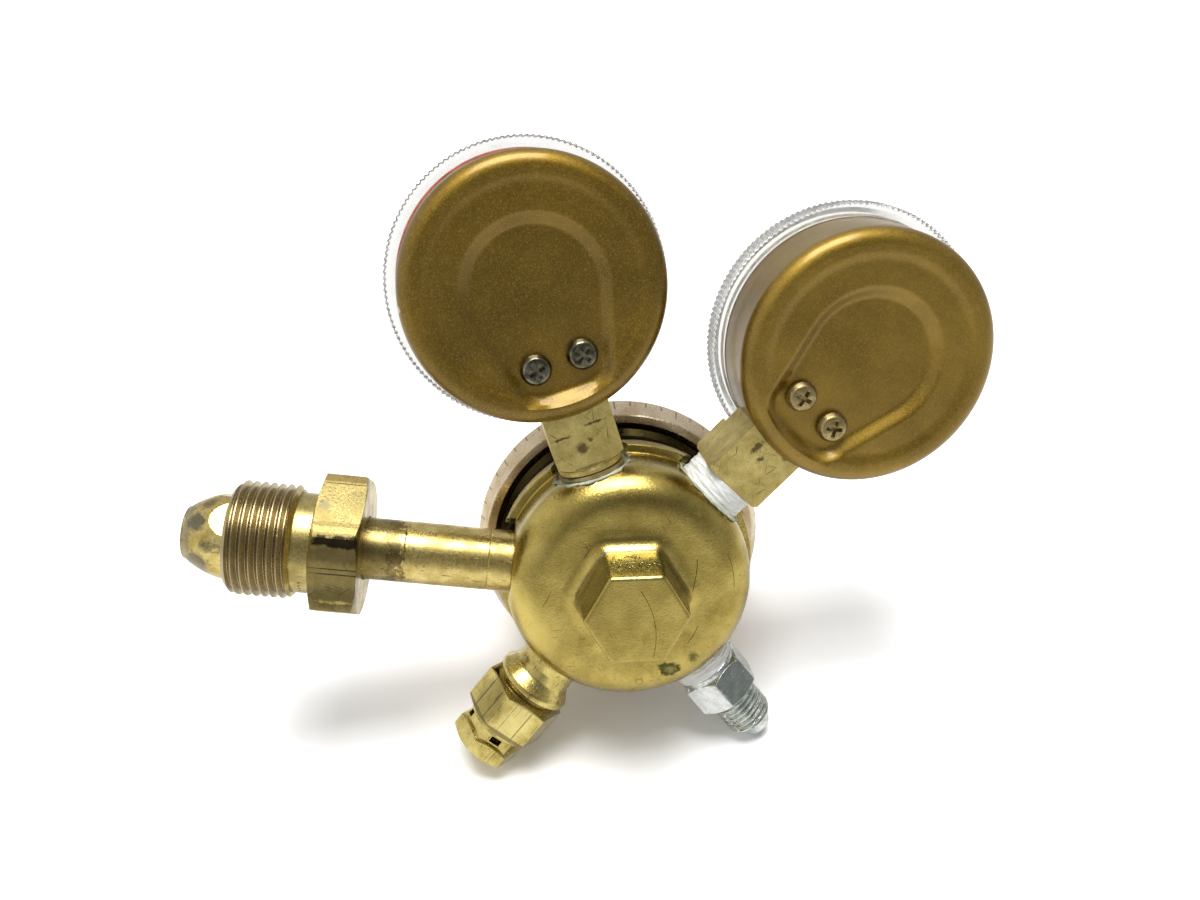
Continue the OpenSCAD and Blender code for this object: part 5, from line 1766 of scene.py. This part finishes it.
    def socket(self) -> None:
        """Breaks the edges of the socket's square bar and dulls them."""
        stem = self.place.on_stem()
        nodes = (self.node("gauge_socket"),)
        piece = copy_of(nodes[0], self.node("socket_milled"))
        piece.moved(stem.inverted())
        piece.soften(0.28, 30)
        low = self.place.reach - self.stem_length
        if self.gasket_red:
            piece.cut(Workpiece.lathe("chamfer", [(7.0, low - 0.02), (11.5, low - 0.02), (11.5, low + 2.7)], 96))
        finish = Brass(
            self.node("socket_brass"), "#d8c67e", "#b5a261", "#383122", tarnished=0.5, cloud=4.5, rough=(0.38, 0.54),
            grain=0.3, grain_depth=0.014, scratches=1.0, patches=self.marks,
        )
        piece.place(stem, finish.make(stem), "socket_brass", nodes, sharp=34)

    def print_dial(self, dial: Matrix) -> None:
        """Prints the scale: long and short ticks and plain numbers.

        Args:
            dial: the gauge's frame.
        """
        ink = Plain(self.node("dial_ink"), "#161616", "#1d1d1d", grain=0.4, depth=0.0).make(dial)
        strokes = bmesh.new()
        each = 5
        total = self.numbers * each
        for i in range(total + 1):
            angle = math.radians(self.scale_zero - self.scale_sweep * i / total)
            inner, width = (20.6, 0.28) if i % each == 0 else (22.0, 0.14)
            stroke = bmesh.ops.create_cube(strokes, size=1)["verts"]
            bmesh.ops.scale(strokes, vec=(self.scale_rim - inner, width, 2 * INK), verts=stroke)
            bmesh.ops.translate(strokes, vec=((self.scale_rim + inner) / 2, 0, self.dial_face + INK), verts=stroke)
            bmesh.ops.rotate(strokes, verts=stroke, cent=(0, 0, 0), matrix=Matrix.Rotation(angle, 3, "Z"))
        Workpiece(self.node("dial_ticks")).take(strokes).place(dial, ink, "pointer_black")
        for i in range(self.numbers + 1):
            angle = math.radians(self.scale_zero - self.scale_sweep * i / self.numbers)
            label = lettering(self.node(f"dial_number_{i}"), str(round(self.full_scale * i / self.numbers)), 3.0)
            spot = (self.number_reach * math.cos(angle), self.number_reach * math.sin(angle), self.dial_face)
            label.moved(Matrix.Translation(spot) @ Matrix.Rotation(math.pi, 4, "Z"))
            label.place(dial, ink, "pointer_black")


def lettering(name: str, text: str, size: float) -> Workpiece:
    """Prints a number as a thin raised mesh about its own middle.

    Args:
        name: the piece's name.
        text: the number.
        size: height of the letters in millimetres.

    Returns:
        The printed number.
    """
    curve = bpy.data.curves.new(name, "FONT")
    curve.body = text
    curve.size = size
    curve.align_x = "CENTER"
    curve.align_y = "CENTER"
    curve.extrude = INK
    holder = bpy.data.objects.new(name, curve)
    bpy.context.scene.collection.objects.link(holder)
    graph = bpy.context.evaluated_depsgraph_get()
    mesh = bpy.data.meshes.new_from_object(holder.evaluated_get(graph))
    bpy.data.objects.remove(holder)
    bpy.data.curves.remove(curve)
    piece = Workpiece(name)
    old = piece.obj.data
    piece.obj.data = mesh
    bpy.data.meshes.remove(old)
    return piece.moved(Matrix.Translation((0, 0, INK)))


def copy_of(node: str, name: str) -> Workpiece:
    """Copies a node's mesh to the bench, merged.

    Args:
        node: the node's name.
        name: the piece's name.

    Returns:
        The copy, in millimetres in the frame's own axes.
    """
    piece = Workpiece(name)
    source = bpy.data.objects[node]
    bm = bmesh.new()
    bm.from_mesh(source.data)
    bm.transform(Matrix.Scale(1 / MM, 4) @ source.matrix_world)
    bmesh.ops.remove_doubles(bm, verts=bm.verts, dist=1e-3)
    bmesh.ops.dissolve_limit(bm, angle_limit=math.radians(0.3), verts=bm.verts, edges=bm.edges)
    return piece.take(bm)


# ---------------------------------------------------------------- inner pieces

class Inner(Enum):
    """The finishes of the pieces inside."""

    STEEL = Steel("machined_steel", "#b9bcbe", "#8d9194", rough=(0.25, 0.4), scuff=0.2, lines=0.4)
    BLACKENED = Steel("blackened_steel", "#4a4744", "#2f2d2b", rough=(0.3, 0.45))
    WIRE = Steel("spring_wire_steel", "#8d9093", "#5f6265", rough=(0.22, 0.36), scuff=0.25)
    BRASS = Brass(
        "turned_inner_brass", "#dcc271", "#bb9d53", "#6b5733", tarnished=0.1, cloud=6.0, rough=(0.2, 0.34), grain=0.4,
        grain_depth=0.006, lines=0.25, scratches=0.2,
    )
    STAMPED = Brass(
        "stamped_movement_brass", "#d9bd6c", "#b8984e", "#6b5733", tarnished=0.1, cloud=5.0, rough=(0.26, 0.4),
        grain=0.3, grain_depth=0.006, scratches=0.2,
    )
    TUBE = Brass(
        "phosphor_bronze_tube", "#c79a58", "#a97c40", "#5c4326", tarnished=0.2, cloud=5.0, rough=(0.24, 0.38),
        grain=0.3, grain_depth=0.006, scratches=0.2,
    )
    SINTERED = Brass(
        "sintered_bronze", "#a97b4a", "#7f5731", "#4b3421", tarnished=0.4, cloud=1.2, rough=(0.5, 0.7), grain=0.25,
        grain_depth=0.09, scratches=0.1,
    )
    RUBBER = Plain("nitrile_rubber", "#2a2a2a", "#1d1d1d", rough=0.62, grain=0.25, depth=0.02)
    SEAT = Plain("ptfe_seat", "#ecebe4", "#dcd9cd", rough=0.42, depth=0.005, soft=0.1)
    DIAL = Plain("printed_dial_white", "#f4f3ec", "#ece9dd", rough=0.45, grain=0.4, depth=0.003)
    POINTER = Plain("pointer_enamel_black", "#151515", "#1e1e1e", rough=0.36, grain=0.4, depth=0.003)
    RED = Plain("gasket_orange_red", "#dd6a2c", "#bd4f1d", rough=0.55, grain=0.4)
    PALE = Plain("gasket_pale_fibre", "#d9d4c4", "#beb7a3", rough=0.62, depth=0.02)
    KNOB = Plain("knob_phenolic_black", "#242322", "#171615", rough=0.32, grain=0.5, depth=0.012)


@dataclass
class InnerWorks:
    """Dresses the nodes that keep their own shape."""

    shared: tuple[tuple[str, Inner], ...] = (
        ("slip_ring", Inner.STEEL), ("diaphragm_plate", Inner.STEEL), ("diaphragm_washer", Inner.STEEL),
        ("spring_button", Inner.STEEL), ("knob_set_screw", Inner.BLACKENED), ("nozzle", Inner.BRASS),
        ("poppet", Inner.BRASS), ("poppet_seat", Inner.SEAT), ("inlet_filter", Inner.SINTERED),
        ("relief_poppet", Inner.BRASS), ("relief_seat", Inner.RUBBER),
    )
    gauge: tuple[tuple[str, Inner], ...] = (
        ("bourdon_tube", Inner.TUBE), ("movement_frame", Inner.STAMPED), ("sector_gear", Inner.STAMPED),
        ("link", Inner.STEEL), ("pinion", Inner.STAMPED), ("pointer", Inner.POINTER), ("dial", Inner.DIAL),
    )

    def dress(self, gauges: Sequence[Gauge]) -> None:
        """Gives each of these nodes its finish, on its own axes.

        Args:
            gauges: the two gauges.
        """
        axis = STANCE.on_axis()
        relief = Port.RELIEF.place()
        places = {"inlet_filter": Port.INLET.place(), "relief_poppet": relief, "relief_seat": relief}
        for node, finish in self.shared:
            self.paint(node, finish, places.get(node, axis))
        for gauge in gauges:
            dial = gauge.place.on_dial()
            for name, finish in self.gauge:
                self.paint(gauge.node(name), finish, dial)

    def paint(self, node: str, finish: Inner, place: Matrix) -> None:
        """Puts a finish on all the slots of a node.

        Args:
            node: the node's name.
            finish: its finish.
            place: its place.
        """
        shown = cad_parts[node]
        material = finish.value.make(place)
        if not shown.data.materials:
            shown.data.materials.append(material)
        for spot in shown.material_slots:
            spot.material = material
        LOG.info("%s: %s", node, finish.name)


@dataclass
class Controls:
    """The adjusting screw with its knob, and the springs."""

    major: float = 6.35
    pitch: float = 1.27
    tip: float = 54.5
    end: float = 84.38
    seat: float = 24.5

    def build(self) -> None:
        """Cuts the screw, moulds the knob and winds the springs."""
        axis = STANCE.on_axis()
        minor = self.major - 0.6 * self.pitch
        screw = Workpiece.thread(
            "adjusting_screw_cut", self.major, minor, self.pitch, self.tip + 2.0, self.end, (0.75, 0.75),
        )
        tip = Workpiece.lathe("tip", eased([
            (0, self.tip), (2.6, self.tip, 0.3), (3.9, self.tip + 1.6), (4.6, self.tip + 1.9),
            (minor - 0.05, self.tip + 1.95), (minor - 0.05, self.tip + 2.3), (0, self.tip + 2.3),
        ]), 96)
        screw.join(tip).place(
            axis, Steel("zinc_screw_steel", "#c3c5c6", "#8b8f92", rough=(0.2, 0.34)).make(axis), "steel",
            ("adjusting_screw",), "screw", sharp=28,
        )
        knob = copy_of("adjusting_knob", "adjusting_knob_moulded").moved(axis.inverted())
        knob.soften(0.3, 28, 3)
        knob.place(axis, Inner.KNOB.value.make(axis), "knob_plastic", ("adjusting_knob",), "screw", sharp=40)
        self.diaphragm(axis)
        wire = Inner.WIRE.value.make(axis)
        relief = Port.RELIEF.place()
        for spring, place, foot in (
            (Spring("main_spring", 2.8, 10.4, 23.68, 6, "button_slide", 5.08), axis, 27.77),
            (Spring("poppet_spring", 0.7, 2.9, 11.2, 5, "poppet_slide", 0.6), axis, -9.97),
            (Spring("relief_spring", 0.9, 3.3, 8.45, 5, "relief_slide", 1.2, foot_stays=False), relief, 39.8),
        ):
            spring.build(place @ Matrix.Translation((0, 0, foot)), wire)

    def diaphragm(self, axis: Matrix) -> None:
        """Moulds the rubber disc.

        Args:
            axis: the frame along the main axis.
        """
        disc = copy_of("diaphragm", "diaphragm_moulded").moved(axis.inverted())
        disc.soften(0.12, 28, 2)
        piece = disc.place(axis, Inner.RUBBER.value.make(axis), "black_rubber", ("diaphragm",), sharp=40)
        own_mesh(piece)


# ---------------------------------------------------------------- studio

@dataclass
class Studio:
    """A plain pale floor, a white room and one soft lamp overhead, in metres and watts."""

    floor_side: float = 6.0
    lamp_place: tuple[float, float, float] = (0.0, -0.02, 0.9)
    lamp_side: float = 0.5
    lamp_power: float = 8.0
    # How bright the room is to matt surfaces, at its dimmest in a reflection, and at least through glass.
    fill: float = 0.3
    dim: float = 0.2
    through: float = 0.8
    # Axis, where a side begins and is full along it, and its brightness in a reflection: the ceiling,
    # the window on the left, the wall behind, the right and the lower walls. The viewer's side stays dim.
    sides: tuple[tuple[int, float, float, float], ...] = (
        (2, 0.72, 0.97, 0.95), (0, -0.1, -0.9, 1.0), (1, 0.0, 0.8, 0.65), (0, 0.5, 1.0, 0.5), (2, 0.45, 0.1, 0.5),
    )
    camera_place: tuple[float, float, float] = (-5.2307, -190.8152, 198.7202)
    camera_turn: tuple[float, float, float] = (52.70249, 3.42060, -5.23301)
    camera_lens: float = 29.949

    def build(self) -> None:
        """Lays the floor, hangs the lamp and sets the camera."""
        self.floor()
        self.room()
        self.lamp()
        self.camera()
        bpy.context.scene.view_settings.view_transform = "Standard"

    def floor(self) -> None:
        """Lays the floor: matt white paper, a little brighter where the camera sees it."""
        floor = bpy.data.objects.new("floor", bpy.data.meshes.new("floor"))
        bpy.context.scene.collection.objects.link(floor)
        bm = bmesh.new()
        bmesh.ops.create_grid(bm, x_segments=1, y_segments=1, size=self.floor_side / 2)
        bm.to_mesh(floor.data)
        bm.free()
        b = Bench("matt_white_paper", Matrix.Identity(4))
        rays = b.add("LightPath").node.outputs
        seen = rays["Is Camera Ray"]
        away = b.add("VectorMath", (b.point,), operation="LENGTH")
        haze = b.add("Math", (seen, b.add("MapRange", (away, 200, 500, 0.035, 0.6))), operation="MULTIPLY")
        glow = b.add("Math", (rays["Is Glossy Ray"], 0.2, haze), operation="MULTIPLY_ADD")
        cloud = b.add("MapRange", (b.noise(40, 4), 0.3, 0.7))
        tone = b.add("Mix", (cloud, linear("#f3f3f2"), linear("#efefee")), data_type="RGBA")
        tone = b.add("Mix", (seen, tone, (1.5, 1.5, 1.5, 1.0)), data_type="RGBA")
        b.feed(
            Base_Color=tone, Roughness=0.9, Specular_IOR_Level=0.2, Emission_Color=(1, 1, 1, 1), Emission_Strength=glow,
        )
        floor.data.materials.append(b.material)
        floor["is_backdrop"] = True

    def room(self) -> None:
        """Sets the room: white all round to the eye and in reflections, dimmer towards the viewer."""
        world = bpy.data.worlds.new("white_room")
        bpy.context.scene.world = world
        world.use_nodes = True
        tree = world.node_tree
        ground = tree.nodes["Background"]

        rays = add_node(tree, "LightPath").node.outputs
        way = add_node(tree, "TexCoord", out="Generated")
        towards = add_node(tree, "SeparateXYZ", (way,)).node.outputs
        shade = self.dim
        for axis, low, high, level in self.sides:
            side = add_node(tree, "MapRange", (towards[axis], low, high, self.dim, level))
            shade = add_node(tree, "Math", (shade, side), operation="MAXIMUM")
        clear = add_node(tree, "Math", (shade, self.through), operation="MAXIMUM")
        shown = rays["Is Camera Ray"]
        for ray, level in (("Glossy", shade), ("Transmission", clear), ("Diffuse", self.fill)):
            part = add_node(tree, "Math", (rays[f"Is {ray} Ray"], level), operation="MULTIPLY")
            shown = add_node(tree, "Math", (shown, part), operation="MAXIMUM")
        tree.links.new(shown, ground.inputs["Strength"])
        ground.inputs["Color"].default_value = (1, 1, 1, 1)
        world.cycles.sampling_method = "NONE"

    def lamp(self) -> None:
        """Hangs a square soft lamp that shines straight down."""
        light = bpy.data.lights.new("overhead", "AREA")
        light.shape = "SQUARE"
        light.size = self.lamp_side
        light.energy = self.lamp_power
        holder = bpy.data.objects.new("overhead", light)
        bpy.context.scene.collection.objects.link(holder)
        holder.location = self.lamp_place
        holder.rotation_euler = Vector((0, 0, -1)).to_track_quat("-Z", "Y").to_euler()

    def camera(self) -> None:
        """Sets the camera: a wide lens close above the boss."""
        data = bpy.data.cameras.new("camera")
        data.lens = self.camera_lens
        data.sensor_width = 36.0
        data.clip_start = 0.01
        holder = bpy.data.objects.new("camera", data)
        bpy.context.scene.collection.objects.link(holder)
        holder.location = Vector(self.camera_place) * MM
        holder.rotation_euler = [math.radians(a) for a in self.camera_turn]
        bpy.context.scene.camera = holder


# ---------------------------------------------------------------- the whole regulator

def gauges() -> list[Gauge]:
    """Describes the two gauges, each with its own wear.

    Returns:
        The high-pressure gauge and the low-pressure one.
    """
    high = GoldPaint("gold_paint_high", chips=(
        Patch((-25.9, -4.8, -7.4), 0.7, "#d8cfb4", 0.7, 0.4, 0.7, 0.6),
        Patch((-23.9, 8.9, -7.6), 0.8, "#cfd2cf", 0.8, 0.4, 0.9, 0.6),
        Patch((-24.8, 9.8, -7.0), 0.5, "#cfd2cf", 0.7, 0.3, 0.7, 0.6),
        Patch((26.6, -4.0, -7.4), 0.9, "#6b5a3c", 0.8, 0.5, 0.8, 0.7),
    ))
    low = GoldPaint("gold_paint_low", "#927524", "#7b6016", chips=(
        Patch((-21.4, -12.8, -6.6), 0.45, "#d9d2bb", 0.8, 0.3, 0.6, 0.5, (2, 2, 1)),
        Patch((-18.8, -16.2, -6.4), 0.35, "#d9d2bb", 0.8, 0.3, 0.6, 0.5, (2, 2, 1)),
    ))
    nickel = Steel("dark_nickel_screw", "#8d8872", "#3f3c30", rough=(0.08, 0.24), scuff=0.4)
    worn = Brass(
        "worn_brassed_screw", "#b3a071", "#8a7a52", "#4c2c1a", tarnished=0.7, cloud=1.6, rough=(0.28, 0.45), grain=0.3,
        grain_depth=0.02, scratches=0.6,
    )
    return [
        Gauge(
            GaugePlace("high", Port.HIGH, 6.0, 66.6), high, nickel, "black_steel", full_scale=300, numbers=6, marks=(
                Patch((-1.1, -7.1, 32.7), 1.1, "#2b271d", 0.75, 0.7, 1.0, 0.8),
                Patch((1.0, -7.1, 34.0), 0.5, "#2f2a1e", 0.7, 0.4, 0.8, 0.8),
                Patch((-4.6, -7.1, 36.0), 0.35, "#2f2a1e", 0.8, 0.3, 0.5, 0.8, (5, 1, 0.8)),
                Patch((3.0, -7.1, 37.2), 0.3, "#2f2a1e", 0.8, 0.3, 0.5, 0.8, (5, 1, 0.9)),
                Patch((0.0, -7.1, 28.5), 0.5, "#5a4a2a", 0.6, 0.5, 0.8, 0.8, (12, 6, 0.6)),
            ),
        ),
        Gauge(
            GaugePlace("low", Port.LOW, 4.8, 69.1), low, worn, "screw_brass", full_scale=10, numbers=5,
            gasket_red=False, marks=(
                Patch((-3.0, -7.1, 40.4), 0.9, "#2d281c", 0.75, 0.5, 1.0, 0.7, (0.8, 1, 1.8)),
                Patch((-0.6, -7.1, 39.0), 0.5, "#2f2a1e", 0.75, 0.4, 0.8, 0.7, (1, 1, 1.6)),
                Patch((3.4, -7.1, 43.0), 0.8, "#3b3424", 0.6, 0.5, 1.2, 0.7),
            ),
        ),
    ]


def main(cad_box: list[list[float]]) -> None:
    """Builds the whole scene in order.

    Args:
        cad_box: lowest and highest corner of the frame, in metres; not used.
    """
    logging.basicConfig(level=logging.INFO, format="%(name)s: %(message)s")
    Studio().build()
    for part in (ForgedBody(), Bonnet(), Controls(), Inlet(), ReliefValve(), Outlet(), Tapes()):
        part.build()
    pair = gauges()
    for gauge in pair:
        gauge.build()
    InnerWorks().dress(pair)


if __name__ == "__main__":
    main([[float(v) for v in corner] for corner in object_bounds()])
